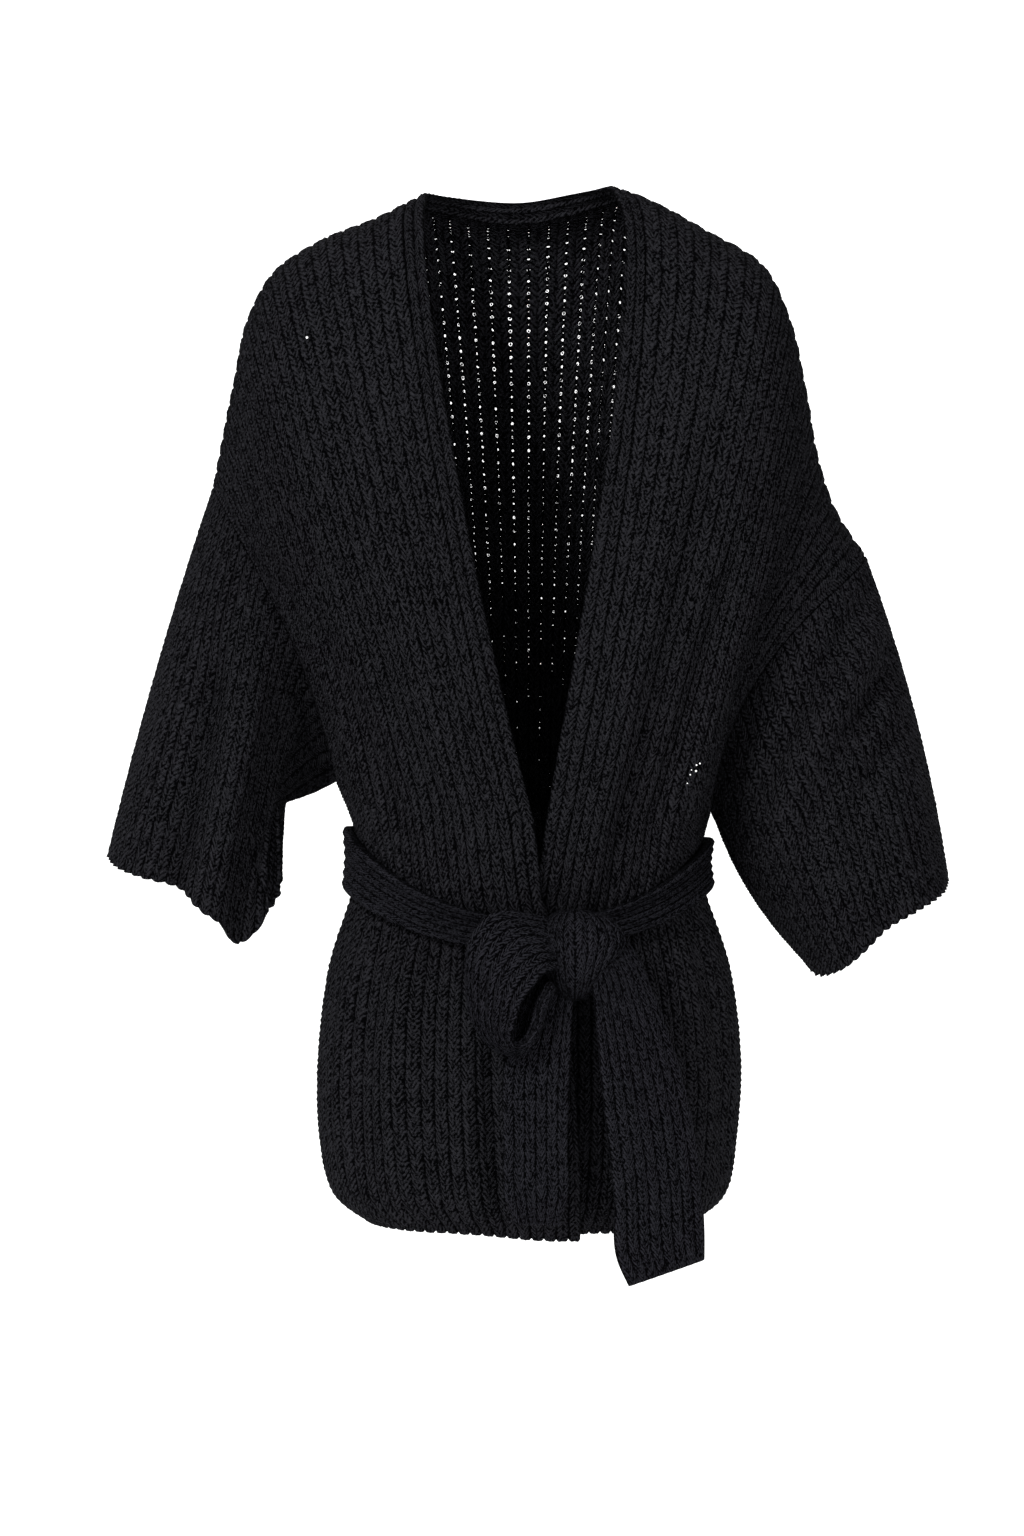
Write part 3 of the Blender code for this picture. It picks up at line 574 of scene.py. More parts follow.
def share_seams(grids, normals):
    """Points that panels share get the same normal, the mean of the panels'."""
    points = np.concatenate([grid.reshape(-1, 3) for grid in grids.values()])
    each = np.concatenate([normals[name].reshape(-1, 3) for name in grids])
    _, index = np.unique(np.round(points, 3), axis=0, return_inverse=True)
    index = index.reshape(-1)
    total = np.zeros((index.max() + 1, 3))
    np.add.at(total, index, each)
    each, start = unit(total[index]), 0
    for name, grid in grids.items():
        count = grid.size // 3
        normals[name] = each[start : start + count].reshape(grid.shape)
        start += count


def steps(ribs, columns, start=0):
    """Places across a panel, counted in ribs: grooves on whole numbers, crests between them."""
    return start + np.arange(ribs * columns + 1) / columns


def coarse_seams():
    """The seams' own directions, from the solids' spacing: normals of the panels and at the armholes."""
    rows = np.append(np.linspace(-1, 0, UPPER_ROWS + 1), np.arange(1, LOWER_ROWS + 1))
    grids = {"back": np.array([back_row(steps(BACK_RIBS, 2), row) for row in rows])}
    for side in ("right", "left"):
        ribs = steps(FRONT_RIBS, 2, BAND_RIBS)
        grids["front_" + side] = np.array([front_row(side, ribs, row) for row in rows])
    grids["front_band"] = band_grid(steps(BAND_RIBS, 2), rows, NECK_RIBS)
    for side, cuff, belly in SLEEVES:
        back_edge = grids["back"][:, 0 if side == "right" else -1]
        corners = np.concatenate([grids["front_" + side][: UPPER_ROWS + 1, -1], back_edge[:UPPER_ROWS][::-1]])
        spots = np.linspace(0, len(corners) - 1, SLEEVE_RIBS * 2 + 1)
        start = between(np.arange(len(corners)), corners, spots)
        turns, down = np.linspace(0, 1, len(start)), np.linspace(0, 1, 7)
        grids["sleeve_" + side] = sleeve_rows(start, turns, cuff, belly, down)
    normals = {}
    for name, grid in grids.items():
        is_sleeve = name.startswith("sleeve")
        centre = grid.mean(axis=(0, 1)) if is_sleeve else BODY_MIDDLE
        normals[name] = facing_out(grid, normals_of(grid, is_sleeve), centre)
    per_corner = SLEEVE_RIBS // UPPER_ROWS
    for side in ("right", "left"):
        normals["sleeve_" + side][0, UPPER_ROWS * per_corner] *= 2
    share_seams(grids, normals)
    ring = np.linspace(0, 1, 2 * UPPER_ROWS + 1)
    for side in ("right", "left"):
        normals["sleeve_" + side] = (ring, normals["sleeve_" + side][0, ::per_corner])
    return {"rows": rows, **normals}


def at_places(keys, vectors, places):
    """Unit vectors between those that are given at a few places."""
    return unit(between(keys, vectors, places))


def towards(normals, seam, distance):
    """The normals turned towards a seam's own direction where they are near it."""
    share = (1 - fade(distance, 0, SEAM_REACH))[..., None]
    return unit(normals * (1 - share) + seam * share)


def sleeve_rows(start, place, cuff, belly, rows):
    """Rows of points of a sleeve, at these shares of the way from the armhole to the cuff."""
    end, off = smooth(cuff, place), smooth(belly, place)
    return np.array([start + (end - start) * w + 4 * w * (1 - w) * off for w in rows])


def rib_rise(place):
    """How high the knit stands across a rib, from 0 in a groove to 1 on its crest."""
    off = np.abs(place - np.floor(place) - 0.5) * 2
    return 1 - off**RIB_FULLNESS


def stitch_rise(place, stitch):
    """The small rise of every stitch: its two legs run up and outward from the middle of the rib."""
    off = np.abs(place - np.floor(place) - 0.5)
    return 0.5 - 0.5 * np.cos(2 * np.pi * (stitch + LEG_RISE * off))


def wander(place, stitch, seed):
    """A slow unevenness, as yarn and hand give it, between about -1 and 1."""
    total = np.zeros(np.broadcast(place, stitch).shape)
    for k, (a, b) in enumerate(WAVES):
        total += np.sin(a * place * 2.1 + b * stitch * 2.7 + seed * 1.7 + k * 2.3) / len(WAVES)
    return total


def off_edges(rib, ribs):
    """0 at the first and the last rib of a panel, and 1 from two ribs in."""
    return fade(rib, 0, 2) * fade(ribs - rib, 0, 2)


def soften(name, grid, normals, rows, stitch, rib, near, pitch):
    """The grid with its soft folds, which die away before the panel's edges but not at its free end."""
    height = np.zeros(rib.shape)
    for rib_0, row_0, rib_1, row_1, half_width, depth in FOLDS[name]:
        first, last = np.interp((row_0, row_1), rows, stitch[:, 0])
        start = np.array((rib_0 * pitch, first * STITCH))
        way = np.array((rib_1 * pitch, last * STITCH)) - start
        place = np.stack([rib * pitch, stitch * STITCH], axis=-1) - start
        share = place @ way / (way @ way)
        off = np.linalg.norm(place - np.clip(share, 0, 1)[..., None] * way, axis=-1)
        ends = fade(share, -0.2, 0.25)
        if row_1 < rows[-1]:
            ends = ends * (1 - fade(share, 0.75, 1.2))
        height += depth * ends * np.exp(-((off / (half_width * pitch)) ** 2))
    return grid + normals * (height * near)[..., None]


def wall(name, rows, columns, ring, loop, thick):
    """A mesh of two layers, joined along their edges. Its vertices know their place and layer."""
    bm = bmesh.new()
    bmesh.ops.create_grid(bm, x_segments=columns - 1, y_segments=rows - 1, size=1)
    place = bm.verts.layers.int.new("place")
    layer = bm.verts.layers.int.new("layer")
    verts = list(bm.verts)
    for i, vert in enumerate(verts):
        vert[place] = i
    joined = {}
    for i, vert in enumerate(verts):
        row, column = divmod(i, columns)
        row = 0 if loop and row == rows - 1 else row
        column = 0 if ring and column == columns - 1 else column
        if row * columns + column != i:
            joined[vert] = verts[row * columns + column]
    if joined:
        bmesh.ops.weld_verts(bm, targetmap=joined)
    if thick:
        made = bmesh.ops.extrude_face_region(bm, geom=bm.faces[:], use_keep_orig=True)
        for item in made["geom"]:
            if isinstance(item, bmesh.types.BMVert):
                item[layer] = 1
    elif not loop:
        edges = [edge for edge in bm.edges if edge.is_boundary]
        bmesh.ops.holes_fill(bm, edges=edges, sides=0)
    mesh = bpy.data.meshes.new(name)
    bm.to_mesh(mesh)
    bm.free()
    return mesh


def place_points(mesh, layers, uv, span):
    """Puts a mesh's vertices on its layers' points, in millimetres, and lays out its UV map."""
    place = np.empty(len(mesh.vertices), np.int32)
    layer = np.empty(len(mesh.vertices), np.int32)
    mesh.attributes["place"].data.foreach_get("value", place)
    mesh.attributes["layer"].data.foreach_get("value", layer)
    points = np.array([layers[0].reshape(-1, 3), layers[-1].reshape(-1, 3)])
    mesh.vertices.foreach_set("co", (points[layer, place] * MM).astype(np.float32).ravel())
    corner = np.empty(len(mesh.loops), np.int32)
    mesh.loops.foreach_get("vertex_index", corner)
    found = uv.reshape(-1, 2)[place[corner]]
    first = np.empty(len(mesh.polygons), np.int32)
    mesh.polygons.foreach_get("loop_start", first)
    face = np.repeat(np.arange(len(first)), np.diff(np.append(first, len(corner))))
    for k in range(2):
        if span[k]:
            top = np.maximum.reduceat(found[:, k], first)[face]
            found[:, k] += span[k] * (top - found[:, k] > span[k] / 2)
    layout = mesh.uv_layers.new(name="stitches")
    layout.data.foreach_set("uv", found.astype(np.float32).ravel())
    bm = bmesh.new()
    bm.from_mesh(mesh)
    bmesh.ops.recalc_face_normals(bm, faces=bm.faces)
    if bm.calc_volume(signed=True) < 0:
        bmesh.ops.reverse_faces(bm, faces=bm.faces)
    bm.to_mesh(mesh)
    bm.free()
    for name in ("place", "layer"):
        mesh.attributes.remove(mesh.attributes[name])


def finished(name, layers, across, finish, along_it=None, ring=True, loop=False, span=(0, 0)):
    """A piece on its layers of points, with its UV map in ribs and stitches. It stands for its name's node.

    Two layers are the two sides of a wall, and one is a closed form, whose rows are half a stitch apart.
    """
    if along_it is None:
        along_it = np.broadcast_to(np.arange(len(across))[:, None] / 2, across.shape)
    mesh = wall(name + "_knit", *across.shape, ring, loop, thick=len(layers) == 2)
    place_points(mesh, layers, np.stack([across, along_it], axis=-1), span)
    made = bpy.data.objects.new(mesh.name, mesh)
    bpy.context.scene.collection.objects.link(made)
    mesh.shade_smooth()
    mesh.materials.append(finish)
    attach(made, "root")
    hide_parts(name)
    return made


def knitted(grid, normals, rib, stitch, seed, ends):
    """A panel's two layers: ribs with stitches outside, shallow ribs inside. Ends that hang are scalloped."""
    rise = rib_rise(rib)
    uneven = wander(rib, stitch, seed)
    groove = GROOVE * RIB_HEIGHT
    if not ends[0]:
        groove = groove * (TOP_GROOVE / GROOVE + (1 - TOP_GROOVE / GROOVE) * fade(stitch, 0, TOP_STITCHES))
    low = groove * (1 - rise) * (1 + GROOVE_CHANGE * uneven)
    loose = 1 - LOOSENESS + LOOSENESS * wander(rib * 3.1, stitch * 9.7, seed + 5)
    small = STITCH_RELIEF * loose * stitch_rise(rib, stitch) * np.clip(rise * CREST_SHARE, 0, 1)
    outer = grid - normals * (low - small + STITCH_RELIEF * STITCH_MIDDLE)[..., None]
    inner = grid - normals * (RIB_HEIGHT + WALL - INNER_RELIEF * rise)[..., None]
    for points in (outer, inner):
        for is_free, index, step in zip(ends, (0, -1), (1, -1)):
            if is_free:
                way = unit(points[index] - points[index + step])
                for k, share in enumerate((1, 0.7, 0.3)):
                    points[index + k * step] += way * (SCALLOP * rise[index] * share)[:, None]
    return outer, inner


def drawn_in(grid, normals, sides):
    """The grid with its sewn edges drawn in by half of the seam's gap."""
    made, every = grid.copy(), slice(None)
    edges = {"top": ((0,), (1,)), "first": ((every, 0), (every, 1)), "last": ((every, -1), (every, -2))}
    for side in sides:
        pick, beside = edges[side]
        tangent = np.gradient(grid[pick], axis=0)
        way = unit(np.cross(tangent, normals[pick]))
        way = way * np.sign((way * (grid[beside] - grid[pick])).sum())
        made[pick] += way * SEAM_GAP / 2
    return made


def edge_distance(grid, axis, last=False):
    """How far each point lies from the panel's first or last edge, along its row or column."""
    gaps = np.linalg.norm(np.diff(grid, axis=axis), axis=-1)
    if last:
        gaps = np.flip(gaps, axis)
    total = np.cumsum(gaps, axis=axis)
    zero = np.zeros_like(np.take(total, [0], axis=axis))
    total = np.concatenate([zero, total], axis=axis)
    return np.flip(total, axis) if last else total


def body_rows(spacing):
    """The rows of a panel of the body, this many stitches apart, and the stitch that each lies at."""
    middle = np.array([BAND_RIBS + FRONT_RIBS / 2])
    tries = np.linspace(-1, LOWER_ROWS, 400)
    reach = lengths(np.array([front_row("right", middle, row)[0] for row in tries]))
    distance = np.linspace(0, reach[-1], int(round(reach[-1] / (STITCH * spacing))) + 1)
    return np.interp(distance, reach, tries), distance / STITCH


def panel(name, seed, row_of, ribs, rows, stitches, seams, finish):
    """A panel of the body: its grid, turned towards its neighbours at its seams, with its folds and knit."""
    keys, given = seams["rows"], seams[name]
    width = ribs[-1] - ribs[0]
    grid = np.array([row_of(ribs, row) for row in rows])
    normals = facing_out(grid, normals_of(grid), BODY_MIDDLE)
    first, last = (at_places(keys, given[:, edge], rows)[:, None] for edge in (0, -1))
    normals = towards(normals, first, edge_distance(grid, 1))
    normals = towards(normals, last, edge_distance(grid, 1, last=True))
    top = at_places(steps(int(width), 2, ribs[0]), given[0], ribs)[None]
    normals = towards(normals, top, edge_distance(grid, 0))
    row, rib = np.meshgrid(rows, ribs - ribs[0], indexing="ij")
    near = off_edges(rib, width) * fade(row, -1, -0.9)
    stitch = np.broadcast_to(stitches[:, None], row.shape)
    grid = soften(name, grid, normals, rows, stitch, rib, near, RIB_PITCH)
    grid = drawn_in(grid, normals, ("top", "first", "last"))
    layers = knitted(grid, normals, rib, stitch, seed, (False, True))
    return finished(name, layers, rib, finish, stitch, ring=False)


def band(rows, seams, finish):
    """The narrow band along both front edges and round the back neck."""
    ribs = steps(BAND_RIBS, BAND_COLUMNS)
    stops = int(round(lengths(neck_edges()[0])[-1] / STITCH * 2))
    grid = band_grid(ribs, rows, stops)
    normals = facing_out(grid, normals_of(grid), BODY_MIDDLE)
    keys = np.concatenate([-1 - seams["rows"][::-1], np.arange(1, NECK_RIBS) / NECK_RIBS, 2 + seams["rows"]])
    places = np.concatenate([-1 - rows[::-1], np.arange(1, stops) / stops, 2 + rows])
    sewn = at_places(keys, seams["front_band"][:, -1], places)[:, None]
    normals = evened(towards(normals, sewn, edge_distance(grid, 1, last=True)), 6)
    grid = drawn_in(grid, normals, ("last",))
    stitch, rib = np.meshgrid(lengths(grid[:, 0]) / STITCH, ribs, indexing="ij")
    layers = knitted(grid, normals, rib, stitch, 4, (True, True))
    return finished("front_band", layers, rib, finish, stitch, ring=False)


def sleeve(side, cuff, belly, seams, finish):
    """A wide tube from the armhole to the cuff. Its first rib runs along the top."""
    name = "sleeve_" + side
    place = np.linspace(0, 1, SLEEVE_RIBS * SLEEVE_COLUMNS + 1)
    front_rib = np.array([float(BAND_RIBS + FRONT_RIBS)])
    back_rib = np.array([0.0 if side == "right" else float(BACK_RIBS)])
    start = []
    for spot, row in zip(place, -1 + 2 * np.minimum(place, 1 - place)):
        start.append((front_row(side, front_rib, row) if spot <= 0.5 else back_row(back_rib, row))[0])
    start = np.array(start)
    count = int(round(np.linalg.norm(smooth(cuff, 0.25) - start[len(start) // 4]) / STITCH * 2))
    rows = np.linspace(0, 1, count + 1)
    grid = sleeve_rows(start, place, cuff, belly, rows)
    normals = facing_out(grid, normals_of(grid, True), grid.mean(axis=(0, 1)))
    normals = towards(normals, at_places(*seams[name], place)[None], edge_distance(grid, 0) / 2)
    row, rib = np.meshgrid(rows, place * SLEEVE_RIBS, indexing="ij")
    near = off_edges(rib, SLEEVE_RIBS) * fade(row, 0, 1 / 6)
    stitch = row * count / 2
    grid = soften(name, grid, normals, rows, stitch, rib, near, SLEEVE_PITCH)
    grid = drawn_in(grid, normals, ("top",))
    layers = knitted(grid, normals, rib, stitch, 5, (False, True))
    return finished(name, layers, rib, finish, stitch, span=(SLEEVE_RIBS, 0))


def flat_outline(width, thickness, ribs):
    """Half of a flat knitted tube's section: points across its face, with how far each stands out."""
    place = steps(ribs, BELT_COLUMNS)
    across = place / ribs - 0.5
    crown = 1 - np.abs(2 * across) ** 4
    return place, across * width, (0.25 + 0.75 * crown) * thickness / 2 + BELT_RIB_HEIGHT * rib_rise(place)


def stitches_on(rib, stitch, crest):
    """How far the belt's stitches raise its surface, where a rib's crest has this share of its height."""
    return STITCH_RELIEF * (stitch_rise(rib, stitch) - STITCH_MIDDLE) * crest


def waist_belt(finish):
    """The belt round the waist. It follows the body's sections, so it lies on the ribs all round."""
    around = partial(section, start=90, end=450, count=481)
    stations = int(round(lengths(around(2))[-1] / STITCH * 2))
    where = np.arange(stations + 1) / stations
    place, _, proud = flat_outline(1, BELT_THICKNESS, BELT_RIBS)
    levels = np.linspace(1.0, 3.0, 61)
    beside = (where[:, None] + (-BELT_BESIDE, 0, BELT_BESIDE)) % 1
    columns = np.array([at_share(around(level), beside) for level in levels])
    points, outward = [], []
    for i, (top, bottom) in enumerate(smooth(BELT_EDGES, where)):
        rows = np.linspace(top, bottom, len(place))
        before, here, after = (between(levels, columns[:, i, k], rows) for k in range(3))
        way = np.cross(after - before, (0, 0, 1))
        sign = np.sign((way * here * (1, 1, 0)).sum(axis=1, keepdims=True))
        points.append(here)
        outward.append(unit(way * sign))
    points, outward = np.array(points), np.array(outward)
    rib, stitch = np.meshgrid(place, where * stations / 2, indexing="xy")
    small = stitches_on(rib, stitch, np.clip(rib_rise(rib) * CREST_SHARE, 0, 1))
    outer = points + outward * (BELT_CLEARANCE + BELT_THICKNESS / 2 + proud + small)[..., None]
    inner = points + outward * BELT_CLEARANCE
    ring = np.concatenate([outer, inner[:, ::-BELT_COLUMNS], outer[:, :1]], axis=1)
    behind = rib[:, ::-BELT_COLUMNS] + BELT_RIBS + 1
    across = np.concatenate([rib, behind, rib[:, :1] + 2 * BELT_RIBS + 2], axis=1)
    return finished("belt_waist", (ring,), across, finish, loop=True, span=(2 * BELT_RIBS + 2, stations / 2))


def ribbon(name, table, thickness, ribs, seed, finish):
    """A flat knitted tube between its two edges, whose places along it a table gives."""
    tries = smooth(table, np.linspace(0, 1, 200))
    reach = lengths((tries[:, :3] + tries[:, 3:]) / 2)
    count = int(round(reach[-1] / STITCH * 2))
    keys = smooth(table, np.interp(np.linspace(0, reach[-1], count + 1), reach, np.linspace(0, 1, 200)))
    one, other = keys[:, :3], keys[:, 3:]
    middles, wide = (one + other) / 2, unit(other - one)
    face = evened(unit(np.cross(np.gradient(middles, axis=0), wide)), 4)
    rings, ups = [], []
    closing = np.minimum(np.arange(count + 1), np.arange(count + 1)[::-1]) / 2.0
    pinch = END_SHARE + (1 - END_SHARE) * np.sqrt(np.clip(1 - (1 - np.clip(closing, 0, 1)) ** 2, 0, 1))
    widths = np.linalg.norm(other - one, axis=1)
    for i, (middle, side, out, width) in enumerate(zip(middles, wide, face, widths)):
        place, across, proud = flat_outline(width, thickness, ribs)
        small = stitches_on(place, i / 2, rib_rise(place))
        uneven = BELT_CHANGE * wander(place, np.full(place.shape, i / 2), seed)
        high = out * ((proud + small + uneven) * pinch[i])[:, None]
        spine = middle + side * across[:, None]
        rings.append(np.concatenate([spine + high, (spine - high)[::-1], (spine + high)[:1]]))
        ups.append(np.concatenate([place, place[::-1] + ribs + 1, [2 * ribs + 2]]))
    return finished(name, (np.array(rings),), np.array(ups), finish, span=(2 * ribs + 2, 0))


def knot(finish):
    """A rounded knot with ribs from top to bottom, and the second strand's lobe on its left."""
    power = 2 / KNOT_SQUARENESS
    half = np.array(KNOT_HALF)
    out, tall, above = KNOT_LOBE
    turn = np.linspace(0, 2 * np.pi, KNOT_RIBS * BELT_COLUMNS + 1)
    rib = turn / (2 * np.pi) * KNOT_RIBS
    flat = np.stack([squared_off(np.cos(turn), power), squared_off(np.sin(turn), power)], axis=-1)
    rings = []
    for row, tilt in enumerate(np.linspace(-np.pi / 2, np.pi / 2, KNOT_ROWS + 1)[1:-1]):
        proud = KNOT_RIB_HEIGHT * rib_rise(rib) + stitches_on(rib, row / 2, rib_rise(rib))
        x, y = (flat * np.cos(tilt) ** power * (half[:2] + proud[:, None])).T
        z = squared_off(np.sin(tilt), power) * half[2]
        x = x * (1 + KNOT_FLARE * z / half[2])
        x = x + out * np.maximum(np.cos(turn), 0) ** 2 * np.exp(-(((z - above) / tall) ** 2)) * np.cos(tilt)
        rings.append(np.stack([x, y, np.full(len(x), z)], axis=-1) + KNOT_CENTRE)
    points = np.array(rings)
    across = np.broadcast_to(rib, points.shape[:2])
    return finished("belt_knot", (points,), across, finish, span=(KNOT_RIBS, 0))


def node_of(tree, kind, **settings):
    node = tree.nodes.new(kind)
    for key, value in settings.items():
        setattr(node, key, value)
    return node


def maths(tree):
    """A function that adds a Math node to the tree, on sockets or numbers, and gives its output."""

    def put(operation, *values, clamp=False):
        node = node_of(tree, "ShaderNodeMath", operation=operation, use_clamp=clamp)
        for socket, value in zip(node.inputs, values):
            if isinstance(value, bpy.types.NodeSocket):
                tree.links.new(value, socket)
            else:
                socket.default_value = value
        return node.outputs[0]

    return put


def parts_of(tree, vector):
    """The three numbers of a vector socket."""
    node = node_of(tree, "ShaderNodeSeparateXYZ")
    tree.links.new(vector, node.inputs[0])
    return node.outputs


def noise(tree, vector, scale, detail):
    node = node_of(tree, "ShaderNodeTexNoise")
    node.inputs["Scale"].default_value = scale
    node.inputs["Detail"].default_value = detail
    tree.links.new(vector, node.inputs["Vector"])
    return node.outputs["Fac"]


def own_number(tree, *cell):
    """A number between 0 and 1 for each cell, such as one stitch."""
    node = node_of(tree, "ShaderNodeTexWhiteNoise")
    tree.links.new(vector_of(tree, *cell), node.inputs["Vector"])
    return node.outputs["Value"]


def vector_of(tree, *values):
    node = node_of(tree, "ShaderNodeCombineXYZ")
    for socket, value in zip(node.inputs, values):
        tree.links.new(value, socket)
    return node.outputs[0]


def stitch_group():
    """Stitches of a rib knit from a UV map in ribs and stitches: how high the yarn is, and how light, with
    painted light on the crests and painted shade between stitches, in the grooves and in pits.
    """
    group = bpy.data.node_groups.new("rib_knit_stitches", "ShaderNodeTree")
    for name, way, kind in (
        ("Ribs and stitches", "INPUT", "NodeSocketVector"),
        ("Place", "INPUT", "NodeSocketVector"),
        ("Looseness", "INPUT", "NodeSocketFloat"),
        ("Painted groove shade", "INPUT", "NodeSocketFloat"),
        ("Slant", "INPUT", "NodeSocketFloat"),
        ("Height", "OUTPUT", "NodeSocketFloat"),
        ("Light", "OUTPUT", "NodeSocketFloat"),
    ):
        group.interface.new_socket(name, in_out=way, socket_type=kind)
    enter, leave = group.nodes.new("NodeGroupInput"), group.nodes.new("NodeGroupOutput")
    place, looseness, math = enter.outputs["Place"], enter.outputs["Looseness"], maths(group)
    ribs, stitches, _ = parts_of(group, enter.outputs["Ribs and stitches"])

    # Where the point lies in its stitch, once the stitch is pulled out of line
    pull = noise(group, place, PULL_SCALE, 2.0)
    slip = math("MULTIPLY", math("MULTIPLY_ADD", pull, 2.0 * PULL, -PULL), looseness)
    push = noise(group, place, SWAY_SCALE, 1.0)
    sway = math("MULTIPLY", math("MULTIPLY_ADD", push, 2.0 * SWAY, -SWAY), looseness)
    across = math("ADD", ribs, sway)
    side = math("SUBTRACT", math("FRACT", across), 0.5)
    off = math("ABSOLUTE", side)
    legs = math("ADD", math("ADD", stitches, slip), math("MULTIPLY", off, enter.outputs["Slant"]))

    # The stitch's two legs
    loop = math("POWER", math("ABSOLUTE", math("SINE", math("MULTIPLY", legs, np.pi))), LOOP_SHARPNESS)
    ridge = math("SINE", math("MULTIPLY", off, 2 * np.pi))
    leg = math("POWER", math("MULTIPLY_ADD", ridge, 1 - LEG_LOW, LEG_LOW), LEG_SHARPNESS)
    height = math("MULTIPLY", loop, leg)

    # The yarn's strands, fuzz and unevenness
    half = math("FLOOR", math("MULTIPLY", across, 2.0))
    own = own_number(group, half, math("FLOOR", legs), math("FLOOR", across))
    turned = vector_of(group, math("MULTIPLY", side, PLY_ACROSS), math("MULTIPLY", legs, PLY_ALONG), own)
    strands = noise(group, turned, PLY_SCALE, 2.0)
    fuzz = noise(group, place, FUZZ_SCALE, 3.0)
    clumps = noise(group, place, CLUMP_SCALE, 2.0)
    loose = math("ADD", math("MULTIPLY", fuzz, FUZZ_HEIGHT), math("MULTIPLY", strands, STRAND_HEIGHT))
    high = math("MULTIPLY_ADD", height, math("MULTIPLY_ADD", own, 0.5, 0.6), loose)
    group.links.new(high, leave.inputs["Height"])
    spread = math("MULTIPLY_ADD", own, OWN_LIGHT, math("MULTIPLY", clumps, CLUMP_LIGHT))
    spread = math("MULTIPLY_ADD", strands, STRAND_LIGHT, math("MULTIPLY_ADD", fuzz, FUZZ_LIGHT, spread))
    # Painted light on the stitches' crests and painted shade between them, with the random tone of strands,
    # fuzz and clumps
    tone_and_painted_light = math("ADD", math("MULTIPLY", height, CREST_PAINTED_LIGHT), math("SUBTRACT", spread, MEAN_LIGHT))
    # Painted shade in the grooves between ribs
    groove = math("POWER", math("MULTIPLY", off, 2.0), GROOVE_SHADE_SHARPNESS)
    tone_and_painted_light = math("SUBTRACT", tone_and_painted_light, math("MULTIPLY", groove, enter.outputs["Painted groove shade"]))
    # Painted shade in small pits between fibres
    painted_pit_shade = math("SUBTRACT", PIT_SHARE, noise(group, place, PIT_SCALE, 1.0), clamp=True)
    tone_and_painted_light = math("SUBTRACT", tone_and_painted_light, math("MULTIPLY", painted_pit_shade, PIT_SHADE_DARKNESS))
    group.links.new(math("MULTIPLY_ADD", tone_and_painted_light, 1.25, 0.2, clamp=True), leave.inputs["Light"])
    return group


def row_gaps(tree, layout, place):
    """1 in the gaps of the open knit and 0 elsewhere: a ring in every other stitch, a dot between."""
    math = maths(tree)
    ribs, stitches, _ = parts_of(tree, layout)
    height = parts_of(tree, place)[2]

    def off_middle(value, size):
        share = math("DIVIDE", math("SUBTRACT", math("FRACT", value), 0.5), size)
        return math("POWER", share, 2.0)

    ragged = noise(tree, place, RAGGED_SCALE, 1.0)
    patchy = noise(tree, place, PATCH_SCALE, 2.0)
    edge = math("MULTIPLY_ADD", ragged, 2.4, -1.1)
    grooves = math("ADD", ribs, 0.5)
    rows = math("MULTIPLY", stitches, GAP_ROWS)
    counted = math("FLOOR", grooves)
    own = own_number(tree, counted, math("FLOOR", rows), counted)

    # How large a gap is: smaller and fewer towards the waist, and larger at the top, where the knit slants
    reach = math("MULTIPLY_ADD", height, 2.5, 1.22, clamp=True)
    slanted = math("MULTIPLY_ADD", height, 14.0, 0.7, clamp=True)
    room = math("SUBTRACT", math("MULTIPLY_ADD", own, 0.6, reach), math("MULTIPLY_ADD", patchy, 0.6, 0.1))
    room = math("ADD", room, slanted)

    side = off_middle(grooves, GAP_WIDTH)
    away = math("ADD", side, off_middle(rows, GAP_HEIGHT))
    core = math("ADD", math("MULTIPLY", own, 0.75), math("MULTIPLY_ADD", ragged, 0.6, -0.55))
    inside = math("LESS_THAN", math("ADD", away, edge), room)
    ring = math("MULTIPLY", inside, math("GREATER_THAN", away, core))
    dot = math("ADD", math("MULTIPLY", side, DOT_NARROWNESS), off_middle(math("ADD", rows, 0.5), DOT_HEIGHT))
    shown = math("MAXIMUM", ring, math("LESS_THAN", math("ADD", dot, edge), room))
    return math("MULTIPLY", shown, math("GREATER_THAN", stitches, GAP_START))


def stray_gaps(tree, place):
    """1 where a loose stitch leaves a small straight gap through the front and the back, and 0 elsewhere."""
    math = maths(tree)
    x, y, z = parts_of(tree, place)
    shown = None
    for across, up, lean, rise, radius in STRAY_GAPS:
        beside = math("SUBTRACT", x, math("MULTIPLY_ADD", y, lean, across * MM))
        above = math("SUBTRACT", z, math("MULTIPLY_ADD", y, rise, up * MM))
        away = math("ADD", math("POWER", beside, 2.0), math("POWER", above, 2.0))
        gap = math("LESS_THAN", away, (radius * MM) ** 2)
        shown = gap if shown is None else math("MAXIMUM", shown, gap)
    return shown


def material(name, **settings):
    """A new material, with these values on its shader's own sockets."""
    made = bpy.data.materials.new(name)
    made.use_nodes = True
    shader = made.node_tree.nodes["Principled BSDF"]
    for key, value in settings.items():
        shader.inputs[key.replace("_", " ")].default_value = value
    return made, made.node_tree, shader


